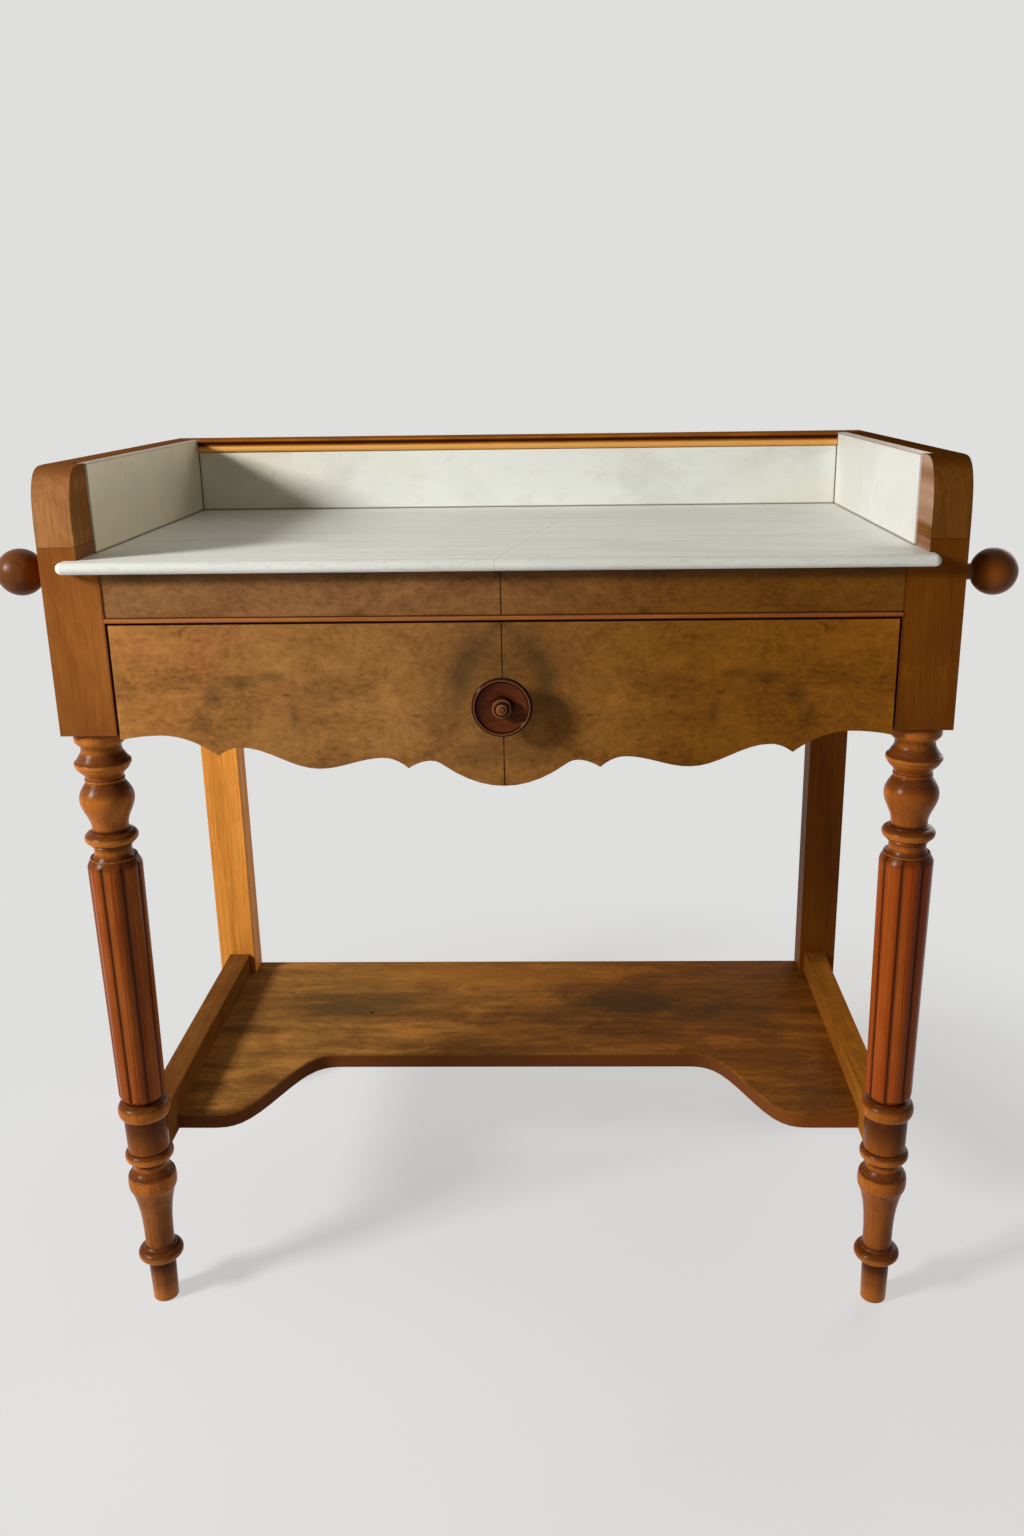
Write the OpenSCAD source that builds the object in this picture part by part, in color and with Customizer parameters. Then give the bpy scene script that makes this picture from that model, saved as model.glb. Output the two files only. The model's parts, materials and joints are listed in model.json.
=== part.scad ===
// Washstand with a marble top, marble splash slips inside a wooden gallery, one drawer with a
// scalloped front, turned and reeded front legs, a shelf with a shaped front and a pull-out
// towel rail at each side.
// Millimetres. +Z is up, +X to the viewer's right, and the front faces -Y.
// The origin lies on the floor, in the middle of the box around the whole object.

/* [Case] */
// Width across the outer faces of the legs
case_w = 820; // [740:10:900]
// Depth from the face of the front posts to the back of the rear legs
case_d = 465; // [430:5:520]
// Height of the marble top's upper face above the floor
top_h = 803; // [770:1:840]
// Thickness of the side and back aprons
apron_t = 22; // [19:1:24]
// Thickness of the rails that carry the drawer and keep it down
rail_t = 18; // [14:1:20]

/* [Front legs] */
// Side of the square block of a front leg
post_s = 53; // [50:1:58]
// Height of the square block below the marble top
block_h = 151; // [144:1:164]
// How far the post rises past the upper face of the marble to the joint with the gallery
post_rise = 11; // [8:1:16]
// Radius of the foot
foot_r = 13.2; // [12:0.1:17]
// Height of the plain foot
foot_h = 51; // [40:1:60]
// Height of the ring above the foot
ankle_ring_h = 18; // [12:1:20]
// Height of the vase-shaped part
vase_h = 70; // [60:1:80]
// Height of the rounded shoulder over the vase
shoulder_h = 21; // [14:1:24]
// Height of the waist over the shoulder
waist_h = 14; // [10:1:20]
// Height of the thin ring under the barrel
thin_ring_h = 13; // [8:1:14]
// Height of the barrel that takes the stretcher
barrel_h = 38; // [36:1:42]
// Height of the thick ring under the column
thick_ring_h = 22; // [18:1:26]
// Radius of the largest rings
ring_r = 26.4; // [25:0.1:26.5]
// Radius of the reeded column at its foot
column_r_low = 23.6; // [22:0.1:25]
// Radius of the reeded column at its head
column_r_high = 26.2; // [25:0.1:26.5]
// Depth of the grooves between the reeds
reed_depth = 2.4; // [1:0.1:3]
// Number of reeds around a column
reed_count = 8; // [6:1:16]

/* [Rear legs] */
// Width of a rear leg, seen from the front
rear_leg_w = 46; // [40:1:50]
// Depth of a rear leg, seen from the side
rear_leg_d = 36; // [30:1:42]

/* [Marble] */
// Thickness of the marble top
slab_t = 11; // [10:0.5:16]
// How far the marble top stands out in front of the posts
slab_nose = 16; // [14:1:24]
// How far its front edge runs past the inner face of the gallery, on the left
slab_ear_left = 15; // [7:1:20]
// The same on the right, where it stops shorter
slab_ear_right = 8; // [7:1:20]
// Thickness of the marble slip at each side
side_slip_t = 13.5; // [12:0.5:15]
// Thickness of the marble slip at the back
back_slip_t = 16; // [12:0.5:20]

/* [Gallery] */
// Height of the gallery above the marble top
gallery_h = 81; // [70:1:110]
// Thickness of the gallery at its front end
gallery_t = 34; // [32:1:38]
// Depth of the thick front end, up to where the marble slip starts
gallery_end = 47; // [44:1:50]
// Depth over which the top of a gallery side rounds down into its front
gallery_round = 40; // [20:1:46]
// Height of the moulded cap along the back
cap_h = 14; // [12:1:18]
// How far the cap's bead stands in front of the back slip
cap_lip = 4; // [2:0.5:6]
// Thickness of the wooden panel behind the back slip
panel_t = 14; // [10:1:18]

/* [Frieze and drawer] */
// Height of the frieze under the marble top
frieze_h = 41; // [38:1:46]
// Height of the bead under the frieze
bead_h = 5; // [4:0.5:7]
// Thickness of the veneer
veneer_t = 1.5; // [0.6:0.1:2]
// Set-back of the veneered faces behind the face of the posts
veneer_back = 1; // [0.5:0.1:2]
// Thickness of the solid wood behind the veneer
core_t = 20; // [18:1:24]
// Depth of the scalloped edge below its highest crest
scallop_drop = 51; // [40:1:60]
// Gap round the drawer front
drawer_gap = 2; // [1:0.1:3]
// Thickness of the drawer's sides and back
drawer_wall = 12; // [10:1:14]
// Height of the drawer's sides
drawer_side_h = 72; // [60:1:76]
// Length of the stop blocks behind the drawer
stop_l = 28; // [15:1:60]
// Thickness of the drawer bottom
drawer_floor_t = 6; // [5:0.5:8]
// Number of dovetails on each front corner of the drawer
tail_count = 3; // [2:1:4]
// Radius of the turned knob
knob_r = 27.5; // [22:0.5:32]
// Reach of the knob in front of the drawer
knob_reach = 30; // [26:1:36]
// Height of the knob's middle above the lowest point of the drawer front
knob_rise = 80.5; // [65:0.5:85]

/* [Shelf] */
// Thickness of the shelf
shelf_t = 18; // [15:1:22]
// Distance from the face of the posts to the front of the shelf's side lobes
shelf_lobe_y = 86; // [75:1:110]
// Distance from the face of the posts to the middle of the shelf's front edge
shelf_mid_y = 214; // [180:1:240]
// Width of the left lobe's level front edge, from the stretcher inwards
shelf_lobe_left = 28; // [20:1:50]
// The same on the right, where the lobe is wider
shelf_lobe_right = 43; // [20:1:50]
// Width of the curve between a lobe and the middle part
shelf_curve_w = 140; // [110:1:160]
// Width of a stretcher
stretcher_w = 26; // [24:1:34]
// Height that a stretcher stands above the shelf
stretcher_rise = 27; // [24:1:30]

/* [Towel rails] */
// Radius of a towel rod
rod_r = 6; // [5:0.5:7.5]
// Radius of the turned ball on a rod
ball_r = 22; // [16:0.5:24]
// Distance from the side of the case to the middle of the ball
ball_out = 44.5; // [40:0.5:55]
// Height of the wood between the left rod's hole and the marble top
rod_drop_left = 2; // [1.5:0.5:12]
// The same on the right, where the rod sits lower
rod_drop_right = 10; // [1.5:0.5:12]
// Clear length of a rod inside the case
rod_in = 350; // [300:5:355]

/* [Hidden] */

left = -1;
right = 1;
eps = 0.01;
round_fn = 48;

// Fits
marble_fit = 0.5;      // slack round the marble, which lies loose in the case
rod_fit = 0.4;         // radial slack of a rod in its holes
slide_fit = 1;         // slack of the drawer box between its guides
seam_fit = 0.15;       // half the seam between two veneer leaves
shelf_fit = 0.5;       // gap between the shelf and a rear leg
leg_fit = 0.5;         // gap between a stretcher's hollowed end and the front leg
bead_out = 1.2;        // how far the frieze bead stands in front of the posts

// Joinery
tenon_l = 22;          // tenon of an apron or a rail
short_tenon_l = 18;    // tenon that shares a rear leg with another one
gallery_tenon_l = 14;
tenon_t = 10;
tenon_shoulder = 12;   // wood left above and below a tenon in a leg
thin_shoulder = 6;     // the same, in a shallow rail
round_tenon_r = 7;     // stretcher into the barrel
round_tenon_l = 24;
housing = 6;           // depth of a groove or housing
dowel_r = 4;
dowel_l = 26;
apron_cheek = (apron_t - tenon_t) / 2; // wood beside a tenon
core_cheek = (core_t - tenon_t) / 2;

// Widths, from the middle of the case
x_out = case_w / 2;
x_post = x_out - post_s;               // inner face of a front post
x_gallery = x_out - gallery_t;         // inner face of the gallery's front end
x_apron = x_out - apron_t;             // inner face of a side apron, and the back of a side slip
x_rear = x_out - rear_leg_w;           // inner face of a rear leg
x_leg = x_out - post_s / 2;            // axis of a front leg
x_slip = x_apron - marble_fit - side_slip_t;
x_drawer = x_post - drawer_gap;        // half the width of the drawer front
x_box = x_drawer - slide_fit;          // outer face of a drawer side
x_stretcher = x_leg - stretcher_w / 2; // inner face of a stretcher

// Depths, from the face of the front posts
y_leg = post_s / 2;
y_rear = case_d - rear_leg_d;          // front face of the rear legs
y_slip = y_rear - back_slip_t;         // front face of the back slip
y_core = veneer_back + veneer_t;       // face of the wood under the veneer
y_core_back = y_core + core_t;
y_box_back = y_rear - stop_l - marble_fit; // back of the drawer box, shut against its stops
y_rod = post_s + rod_r + 7;
front_reach = knob_reach - veneer_back;
y_front = (front_reach - case_d) / 2;  // face of the posts, from the origin

// Heights
z_slab = top_h - slab_t;
z_block = z_slab - block_h;
z_joint = top_h + post_rise;
z_top = top_h + gallery_h;
z_cap = z_top - cap_h;
z_frieze = z_slab - frieze_h;
z_bead = z_frieze - bead_h;
z_drawer = z_bead - drawer_gap;        // top of the drawer front
z_low = z_block - scallop_drop;        // lowest point of the drawer front
z_knob = z_low + knob_rise;
z_side_top = z_frieze - rail_t - slide_fit;
z_side = z_side_top - drawer_side_h;   // underside of the drawer box
z_floor = z_side + thin_shoulder + 2;  // underside of the drawer's bottom board

// Turning of the front leg: each part stands on the one before it
z_ankle = foot_h;
z_vase = z_ankle + ankle_ring_h;
z_shoulder = z_vase + vase_h;
z_waist = z_shoulder + shoulder_h;
z_thin_ring = z_waist + waist_h;
z_barrel = z_thin_ring + thin_ring_h;
z_thick_ring = z_barrel + barrel_h;
z_column = z_thick_ring + thick_ring_h;
// and the upper part hangs from the block
cove_h = 20;
cushion_h = 26;
pear_h = 53.5;
collar_ring_h = 13.5;
collar_neck_h = 14;
column_rim_h = 2;
column_foot_h = 8;                     // the column's foot swells out to its reeds
column_shoulder_h = 11;                // the column's head rounds over to its rim
reed_turn_left = 34.1;                 // how far each column's reeding is turned about its axis
reed_turn_right = 1.3;
column_core_h = 12;                    // overlap of the turned parts and the column
z_cove = z_block - cove_h;
z_cushion = z_cove - cushion_h;
z_pear = z_cushion - pear_h;
z_collar_ring = z_pear - collar_ring_h;
z_collar_neck = z_collar_ring - collar_neck_h;
z_column_rim = z_collar_neck - column_rim_h;
// Radii of the turning
ankle_r = 14.2;
ankle_ring_r = 23.5;
vase_r_low = 15;
shoulder_r = 24.9;
waist_r = 17.2;
thin_ring_r = 24.8;
barrel_r_low = 21;
barrel_r_high = 21.6;
column_neck_r = 17.8;
column_foot_r = 19.5;
column_rim_r = 22.4;
collar_r = 17.7;
collar_ring_r = 25.2;
pear_neck_r = 17.2;
pear_r = 25.6;
cushion_neck_r = 17.8;
cove_r = 18.6;
cove_top_r = 24;

// Shelf and stretchers sit at the barrel
z_shelf_top = z_barrel;                // the shelf's top is level with the foot of the barrel
z_shelf = z_shelf_top - shelf_t;
z_stretcher_top = z_shelf_top + stretcher_rise;
z_tenon = (z_shelf_top + z_stretcher_top) / 2;
shelf_housing = 8;                     // depth of the shelf's edge in the stretcher
shelf_back = 4;                        // shelf's rear edge, in front of the back of the legs

// Colours
honey = [0.66, 0.42, 0.22];
burl = [0.58, 0.41, 0.23];
red_wood = [0.52, 0.26, 0.12];
dark_wood = [0.27, 0.11, 0.06];
pale_wood = [0.72, 0.58, 0.38];
shelf_wood = [0.47, 0.31, 0.17];
marble = [0.86, 0.87, 0.84];

// Stands a part on the case: depths count from the face of the posts, and the left side is the
// right side's mirror image.
module seat(side = right)
    translate([0, y_front, 0]) mirror([side == left ? 1 : 0, 0, 0]) children();

// A box from its lowest to its highest corner
module slab(low, high) translate(low) cube(high - low);

// Outline functions for the turning: points [radius, height], going up
function bead(z, h, r, r_out, n = 8) =
    [for (i = [0 : n]) let (a = 180 * i / n - 90) [r + (r_out - r) * cos(a), z + h * (1 + sin(a)) / 2]];
function sweep(z, h, r1, r2, n = 6) =
    [for (i = [0 : n]) let (t = i / n) [r1 + (r2 - r1) * (1 - cos(180 * t)) / 2, z + h * t]];
// A bell that stays slim and opens towards its end
function trumpet(z, h, r1, r2, n = 9) =
    [for (i = [0 : n]) let (t = i / n) [r1 + (r2 - r1) * pow(t, 3), z + h * t]];
// Quarter curves: a flare leaves r1 upright and is steepest at r2, a swell is steepest at r1 and
// arrives at r2 upright. One that goes on from a point at r1 starts at its next point, from = 1.
function flare(z, h, r1, r2, n = 5, from = 0) =
    [for (i = [from : n]) let (t = i / n) [r1 + (r2 - r1) * (1 - cos(90 * t)), z + h * t]];
function swell(z, h, r1, r2, n = 5, from = 0) =
    [for (i = [from : n]) let (t = i / n) [r1 + (r2 - r1) * sin(90 * t), z + h * t]];

// ---------------------------------------------------------------- front legs

function lower_turning() = concat(
    [[0, 0], [foot_r - 1.5, 0], [foot_r, 1.5], [ankle_r, z_ankle]],
    bead(z_ankle, ankle_ring_h - 3, ankle_r, ankle_ring_r),
    [[vase_r_low + 2.4, z_vase - 3]],
    flare(z_vase - 3, 3, vase_r_low + 2.4, vase_r_low, 2),
    trumpet(z_vase, vase_h, vase_r_low, shoulder_r - 2),
    bead(z_shoulder, 0.86 * shoulder_h, shoulder_r - 2, shoulder_r),
    [[waist_r + 4.6, z_shoulder + 0.88 * shoulder_h], [waist_r + 4, z_waist]],
    swell(z_waist, 0.46 * waist_h, waist_r + 3.4, waist_r, 5, 1),
    [[waist_r, z_thin_ring - 1.5], [barrel_r_low - 1.4, z_thin_ring]],
    bead(z_thin_ring, thin_ring_h - 0.8, barrel_r_low - 1.4, thin_ring_r),
    [[barrel_r_low, z_barrel], [barrel_r_high, z_thick_ring]],
    bead(z_thick_ring, 0.82 * thick_ring_h, barrel_r_high - 1, ring_r),
    [[column_neck_r + 2.6, z_column - 3.8], [column_neck_r + 2.4, z_column - 2.6],
        [column_neck_r, z_column - 1.4], [column_neck_r, z_column + column_core_h]]);

function upper_turning() = concat(
    [[collar_r, z_column_rim - column_core_h], [collar_r, z_column_rim - 1],
        [column_rim_r - 1.4, z_column_rim - 1]],
    bead(z_column_rim, column_rim_h, column_rim_r - 0.8, column_rim_r, 4),
    [[column_rim_r - 2, z_collar_neck - 1]],
    swell(z_collar_neck - 1, 7, column_rim_r - 2, collar_r, 5, 1),
    [[collar_r, z_collar_ring - 2.6], [collar_r + 2, z_collar_ring - 2], [collar_r + 1, z_collar_ring]],
    bead(z_collar_ring, collar_ring_h - 2, collar_r + 1, collar_ring_r),
    flare(z_pear - 2, 2, collar_r + 1.6, pear_neck_r, 2),
    [[pear_neck_r, z_pear + 0.06 * pear_h]],
    sweep(z_pear + 0.06 * pear_h, 0.53 * pear_h, pear_neck_r, pear_r, 8),
    flare(z_pear + 0.59 * pear_h, 0.32 * pear_h, pear_r, cushion_neck_r, 7, 1),
    bead(z_pear + 0.92 * pear_h, 0.06 * pear_h, cushion_neck_r, cushion_neck_r + 0.9, 4),
    sweep(z_cushion, 0.42 * cushion_h, cushion_neck_r, ring_r - 1.4, 6),
    bead(z_cushion + 0.42 * cushion_h, 0.2 * cushion_h, ring_r - 1.4, ring_r, 4),
    [[ring_r - 2.2, z_cushion + 0.65 * cushion_h], [cove_r + 0.6, z_cove - 1]],
    sweep(z_cove + 0.15 * cove_h, 0.42 * cove_h, cove_r, cove_top_r),
    [[cove_top_r, z_block + eps], [0, z_block + eps]]);

// Section of the reeded column at its head: each reed is a broad, flat arc between two narrow
// grooves, a half wave raised to a low power
function reeded_section(r, depth, count, n = 10) =
    [for (k = [0 : count - 1], i = [0 : n - 1])
        let (a = 360 * (k + i / n) / count, s = pow(sin(180 * i / n), 0.4))
            (r - depth + depth * s) * [cos(a), sin(a)]];

module reeded_column(turn) {
    h = z_column_rim - z_column;
    clear = 0.2; // the turned ends stand clear of the reeds between them
    intersection() {
        translate([0, 0, z_column]) rotate([0, 0, turn])
            mirror([0, 0, 1]) translate([0, 0, -h])
                linear_extrude(height = h, scale = column_r_low / column_r_high)
                    polygon(reeded_section(column_r_high, reed_depth, reed_count));
        rotate_extrude($fn = round_fn) polygon(concat(
            [[0, z_column]],
            swell(z_column, column_foot_h, column_foot_r, column_r_low + clear),
            [[column_r_high + clear, z_column_rim - column_shoulder_h]],
            flare(z_column_rim - column_shoulder_h, column_shoulder_h,
                column_r_high + clear, column_rim_r, 6, 1),
            [[0, z_column_rim]]));
    }
}

module post_block() {
    slab([x_post, 0, z_block], [x_out, post_s, z_slab]);
    slab([x_gallery, 0, z_slab - eps], [x_out, gallery_end, z_joint]);
    slab([x_apron, 0, z_slab - eps], [x_out, post_s, z_joint]);
}

module front_leg(side, turn) color(red_wood) seat(side) difference() {
    union() {
        post_block();
        translate([x_leg, y_leg, 0]) {
            rotate_extrude($fn = round_fn)
                polygon(concat(lower_turning(), [[0, z_column + column_core_h]]));
            reeded_column(turn);
            rotate_extrude($fn = round_fn)
                polygon(concat([[0, z_column_rim - column_core_h]], upper_turning()));
        }
    }
    frieze_tenon();
    side_apron_tenons();
    stretcher_tenon();
    dowel_at(dowel_front());
}

// ---------------------------------------------------------------- rear legs and aprons

module rear_leg(side) color(honey) seat(side) difference() {
    slab([x_rear, y_rear, 0], [x_out, case_d, z_cap]);
    side_apron_tenons();
    back_apron_tenon();
    gallery_tenon();
    panel_board();
    stretcher_back_tenon();
}

module side_apron_tenons()
    slab([x_apron + apron_cheek, post_s - tenon_l, z_block + tenon_shoulder],
        [x_out - apron_cheek, y_rear + tenon_l, z_slab - tenon_shoulder]);

module side_apron(side) color(honey) seat(side) difference() {
    union() {
        slab([x_apron, post_s, z_block], [x_out, y_rear, z_joint]);
        side_apron_tenons();
    }
    rod_hole(side);
    dowel_at(dowel_middle());
}

module back_apron_tenon()
    slab([x_rear - eps, y_rear + apron_cheek, z_block + tenon_shoulder],
        [x_rear + short_tenon_l, y_rear + apron_cheek + tenon_t, z_slab - tenon_shoulder]);

module back_apron() color(pale_wood) seat() {
    slab([-x_rear, y_rear, z_block], [x_rear, y_rear + apron_t, z_joint]);
    for (side = [left, right]) mirror([side == left ? 1 : 0, 0, 0]) back_apron_tenon();
}

// ---------------------------------------------------------------- frieze

module frieze_tenon()
    slab([x_post - eps, y_core + core_cheek, z_frieze + thin_shoulder],
        [x_post + tenon_l, y_core + core_cheek + tenon_t, z_slab - thin_shoulder]);

module frieze_rail() color(honey) seat() {
    slab([-x_post, y_core, z_bead], [x_post, y_core_back, z_slab]);
    for (side = [left, right]) mirror([side == left ? 1 : 0, 0, 0]) frieze_tenon();
}

module frieze_veneer(side) color(burl) seat(side)
    slab([seam_fit, veneer_back, z_frieze], [x_post, y_core, z_slab]);

// A strip with a rounded face, its flat back on the rail
module frieze_bead() color(red_wood) seat()
    intersection() {
        translate([-x_post, y_core, z_bead + bead_h / 2]) rotate([0, 90, 0])
            cylinder(r = y_core + bead_out, h = 2 * x_post, $fn = round_fn);
        slab([-x_post, -post_s, z_bead], [x_post, y_core, z_frieze]);
    }

// ---------------------------------------------------------------- rails that carry the drawer

module drawer_runner(side) color(pale_wood) seat(side)
    slab([x_box - drawer_wall - 2, post_s, z_side - rail_t], [x_apron, y_rear, z_side]);

module drawer_guide(side) color(pale_wood) seat(side)
    slab([x_box + slide_fit, post_s, z_side], [x_apron, y_rear, z_side + rail_t]);

module drawer_kicker(side) color(pale_wood) seat(side)
    slab([x_box - drawer_wall - 2, post_s, z_frieze - rail_t], [x_apron, y_rear, z_frieze]);

module drawer_stops() color(pale_wood) seat()
    for (side = [left, right]) mirror([side == left ? 1 : 0, 0, 0])
        slab([x_box - drawer_wall, y_box_back + marble_fit, z_side], [x_box, y_rear, z_side + rail_t]);

// ---------------------------------------------------------------- ledgers under the marble

ledger_s = 20;
ledger_gap = 2;
rod_guide_wall = 14;                     // wood behind the rod's hole
y_ledger = y_rod + rod_r + rod_guide_wall + ledger_gap;

module slab_ledger_side(side) color(pale_wood) seat(side)
    slab([x_apron - ledger_s, y_ledger, z_slab - ledger_s], [x_apron, y_rear - ledger_s, z_slab]);

module slab_ledger_back() color(pale_wood) seat()
    slab([-x_rear, y_rear - ledger_s, z_slab - ledger_s], [x_rear, y_rear, z_slab]);

// ---------------------------------------------------------------- towel rails

rod_guide_t = 30;
rod_shoulder = 6;                        // the rod's full width ends here, inside the ball's neck
collar_h = 5;
collar_out_r = rod_r + 7.5;
neck_r = rod_r + 1.5;
neck_a = -acos((neck_r + 1) / ball_r);   // where the ball starts, from its middle
x_rod_guide = x_post - marble_fit - rod_guide_t;
x_rod_end = x_out - rod_in;
rod_pin_in = 15;                         // wood between the rod's inner end and its cross pin
x_rod_pin = x_rod_end + rod_pin_in;      // the cross pin stops the rod at the guide
rod_pin_r = 2;
rod_pin_l = 2 * rod_r + 12;

// Height of a rod's axis
function z_rod(side) = z_slab - rod_r - rod_fit - (side == left ? rod_drop_left : rod_drop_right);

module rod_hole(side) translate([0, y_rod, z_rod(side)]) rotate([0, 90, 0])
    cylinder(r = rod_r + rod_fit, h = x_out + 1, $fn = round_fn);

// A block on the kicker, behind the frieze rail, with a hole that steadies the rod
module rod_guide(side) color(pale_wood) seat(side) difference() {
    slab([x_rod_guide, y_core_back, z_frieze],
        [x_rod_guide + rod_guide_t, y_rod + rod_r + rod_guide_wall, z_slab - marble_fit]);
    rod_hole(side);
}

module rod_pin(side) translate([x_rod_pin, y_rod, z_rod(side)]) rotate([90, 0, 0])
    cylinder(r = rod_pin_r, h = rod_pin_l, center = true, $fn = round_fn);

module towel_rod(side) color(dark_wood) seat(side) difference() {
    translate([0, y_rod, z_rod(side)]) rotate([0, 90, 0]) {
        translate([0, 0, x_rod_end])
            cylinder(r = rod_r, h = x_out - x_rod_end + rod_shoulder, $fn = round_fn);
        translate([0, 0, x_out]) cylinder(r = rod_r - 2, h = ball_out, $fn = round_fn);
    }
    rod_pin(side);
}

module towel_pin(side) color(pale_wood) seat(side) rod_pin(side);

// The ball, its neck and the collar that closes against the side of the case
module towel_ball(side) color(dark_wood) seat(side)
    translate([x_out, y_rod, z_rod(side)]) rotate([0, 90, 0]) difference() {
        rotate_extrude($fn = round_fn) polygon(concat(
            [[0, rod_fit]],
            bead(rod_fit, collar_h, rod_r + 5, collar_out_r),
            sweep(rod_fit + collar_h, ball_out - ball_r - collar_h, rod_r + 4, neck_r, 5),
            [for (i = [0 : 16]) let (a = (1 - i / 16) * neck_a + 90 * i / 16)
                [ball_r * cos(a), ball_out + ball_r * sin(a)]]));
        translate([0, 0, -1]) cylinder(r = rod_r, h = rod_shoulder + 1, $fn = round_fn);
        cylinder(r = rod_r - 2, h = ball_out, $fn = round_fn);
    }

// ---------------------------------------------------------------- marble

module marble_top() color(marble) seat() {
    nose_r = slab_t / 2;
    z_axis = z_slab + nose_r;
    y_axis = nose_r - slab_nose;
    y_face = -marble_fit;
    // between the gallery ends, then between the aprons behind the posts
    slab([marble_fit - x_gallery, y_face - eps, z_slab], [x_gallery - marble_fit, post_s + 1, top_h]);
    slab([marble_fit - x_apron, post_s + marble_fit, z_slab],
        [x_apron - marble_fit, y_rear - marble_fit, top_h]);
    // the front strip with its rounded nosing and ears
    x_nose_left = nose_r - x_gallery - slab_ear_left;
    x_nose_right = x_gallery + slab_ear_right - nose_r;
    slab([x_nose_left, y_axis, z_slab], [x_nose_right, y_face, top_h]);
    translate([x_nose_left, y_axis, z_axis]) rotate([0, 90, 0])
        cylinder(r = nose_r, h = x_nose_right - x_nose_left, $fn = round_fn);
    for (x = [x_nose_left, x_nose_right]) translate([x, y_axis, z_axis]) {
        sphere(r = nose_r, $fn = round_fn);
        rotate([-90, 0, 0]) cylinder(r = nose_r, h = y_face - y_axis, $fn = round_fn);
    }
}

// The back slip stands between the side slips, against the rear legs and the panel
module marble_splash_back() color(marble) seat()
    slab([marble_fit - x_slip, y_slip, top_h], [x_slip - marble_fit, y_rear, z_cap - marble_fit]);

module marble_splash_side(side) color(marble) seat(side)
    slab([x_slip, gallery_end + marble_fit, top_h],
        [x_apron - marble_fit, y_rear, z_top - marble_fit]);

// ---------------------------------------------------------------- gallery

module gallery_tenon()
    slab([x_apron + apron_cheek, y_rear - eps, z_joint + thin_shoulder],
        [x_out - apron_cheek, y_rear + gallery_tenon_l, z_cap - thin_shoulder]);

module gallery_side(side) color(honey) seat(side) difference() {
    union() {
        translate([x_out, 0, 0]) rotate([90, 0, -90]) linear_extrude(height = gallery_t)
            gallery_outline();
        gallery_tenon();
    }
    slab([x_gallery - 1, gallery_end, z_joint - 1], [x_apron, y_rear + 1, z_top + 1]);
    dowel_at(dowel_front());
    dowel_at(dowel_middle());
}

// Side view, with x running from the back to the front of the case
gallery_square = 3.4;                    // 2 rounds the front corner as an ellipse, more squares it
module gallery_outline() {
    h = gallery_h - post_rise;
    polygon(concat([[-y_rear, z_joint]],
        [for (i = [0 : 16]) let (a = 90 * i / 16, p = 2 / gallery_square)
            [-gallery_round * (1 - pow(cos(a), p)), z_joint + h * pow(sin(a), p)]],
        [[-y_rear, z_top]]));
}

module panel_board()
    slab([-x_rear - housing, y_rear, z_joint], [x_rear + housing, y_rear + panel_t, z_cap]);

module gallery_panel() color(pale_wood) seat() panel_board();

// The cap lies on the rear legs and runs forward over the back slip, between the side slips
module gallery_cap() color(honey) seat() {
    slab([-x_out, y_rear, z_cap], [x_out, case_d, z_top]);
    translate([marble_fit - x_slip, 0, 0]) rotate([90, 0, 90])
        linear_extrude(height = 2 * (x_slip - marble_fit)) cap_moulding();
}

// Section of the cap's front: a bead below, a hollow, and a square edge above
module cap_moulding() {
    bead_r = cap_h / 4;
    y_lip = y_slip - cap_lip;
    translate([y_lip + bead_r, z_cap + bead_r]) circle(r = bead_r, $fn = round_fn);
    translate([y_lip + bead_r, z_cap]) square([y_rear + 1 - y_lip - bead_r, cap_h]);
    translate([y_lip + 1, z_top - cap_h / 4]) square([bead_r, cap_h / 4]);
}

function dowel_front() = [x_out - apron_t / 2, y_leg, z_joint];
function dowel_middle() = [x_out - apron_t / 2, (post_s + y_rear) / 2, z_joint];

module dowel_at(place) translate(place) cylinder(r = dowel_r, h = dowel_l, center = true, $fn = round_fn);

module gallery_dowels() color(pale_wood) seat()
    for (side = [left, right]) mirror([side == left ? 1 : 0, 0, 0]) {
        dowel_at(dowel_front());
        dowel_at(dowel_middle());
    }

// ---------------------------------------------------------------- stretchers and shelf

module stretcher_tenon() translate([x_leg, y_leg + 4, z_tenon]) rotate([-90, 0, 0])
    cylinder(r = round_tenon_r, h = round_tenon_l, $fn = round_fn);

module stretcher_back_tenon()
    slab([x_leg - tenon_t / 2, y_rear - eps, z_shelf + thin_shoulder],
        [x_leg + tenon_t / 2, y_rear + short_tenon_l, z_stretcher_top - thin_shoulder]);

module stretcher(side) color(honey) seat(side) {
    difference() {
        slab([x_stretcher, y_leg + thin_ring_r / 2, z_shelf],
            [x_stretcher + stretcher_w, y_rear, z_stretcher_top]);
        // the front end is hollowed to fit round the leg: its ring below and its barrel above
        translate([x_leg, y_leg, z_shelf - 1]) {
            cylinder(r = thin_ring_r + leg_fit, h = z_barrel + leg_fit - z_shelf + 1, $fn = round_fn);
            cylinder(r = barrel_r_high + leg_fit, h = z_stretcher_top - z_shelf + 2, $fn = round_fn);
        }
        shelf_board();
    }
    stretcher_tenon();
    stretcher_back_tenon();
}

// Eases a share in slowly and out slowly
function eased(t) = (1 - cos(180 * t)) / 2;

// Half the front edge of the shelf, from the stretcher inwards: a lobe, an S-curve that is steep in
// its middle, then straight
function shelf_edge(lobe_w, n = 18) = let (x1 = x_stretcher - lobe_w)
    [for (i = [0 : n]) [x1 - shelf_curve_w * i / n,
        shelf_lobe_y + (shelf_mid_y - shelf_lobe_y) * eased(eased(i / n))]];

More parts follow.
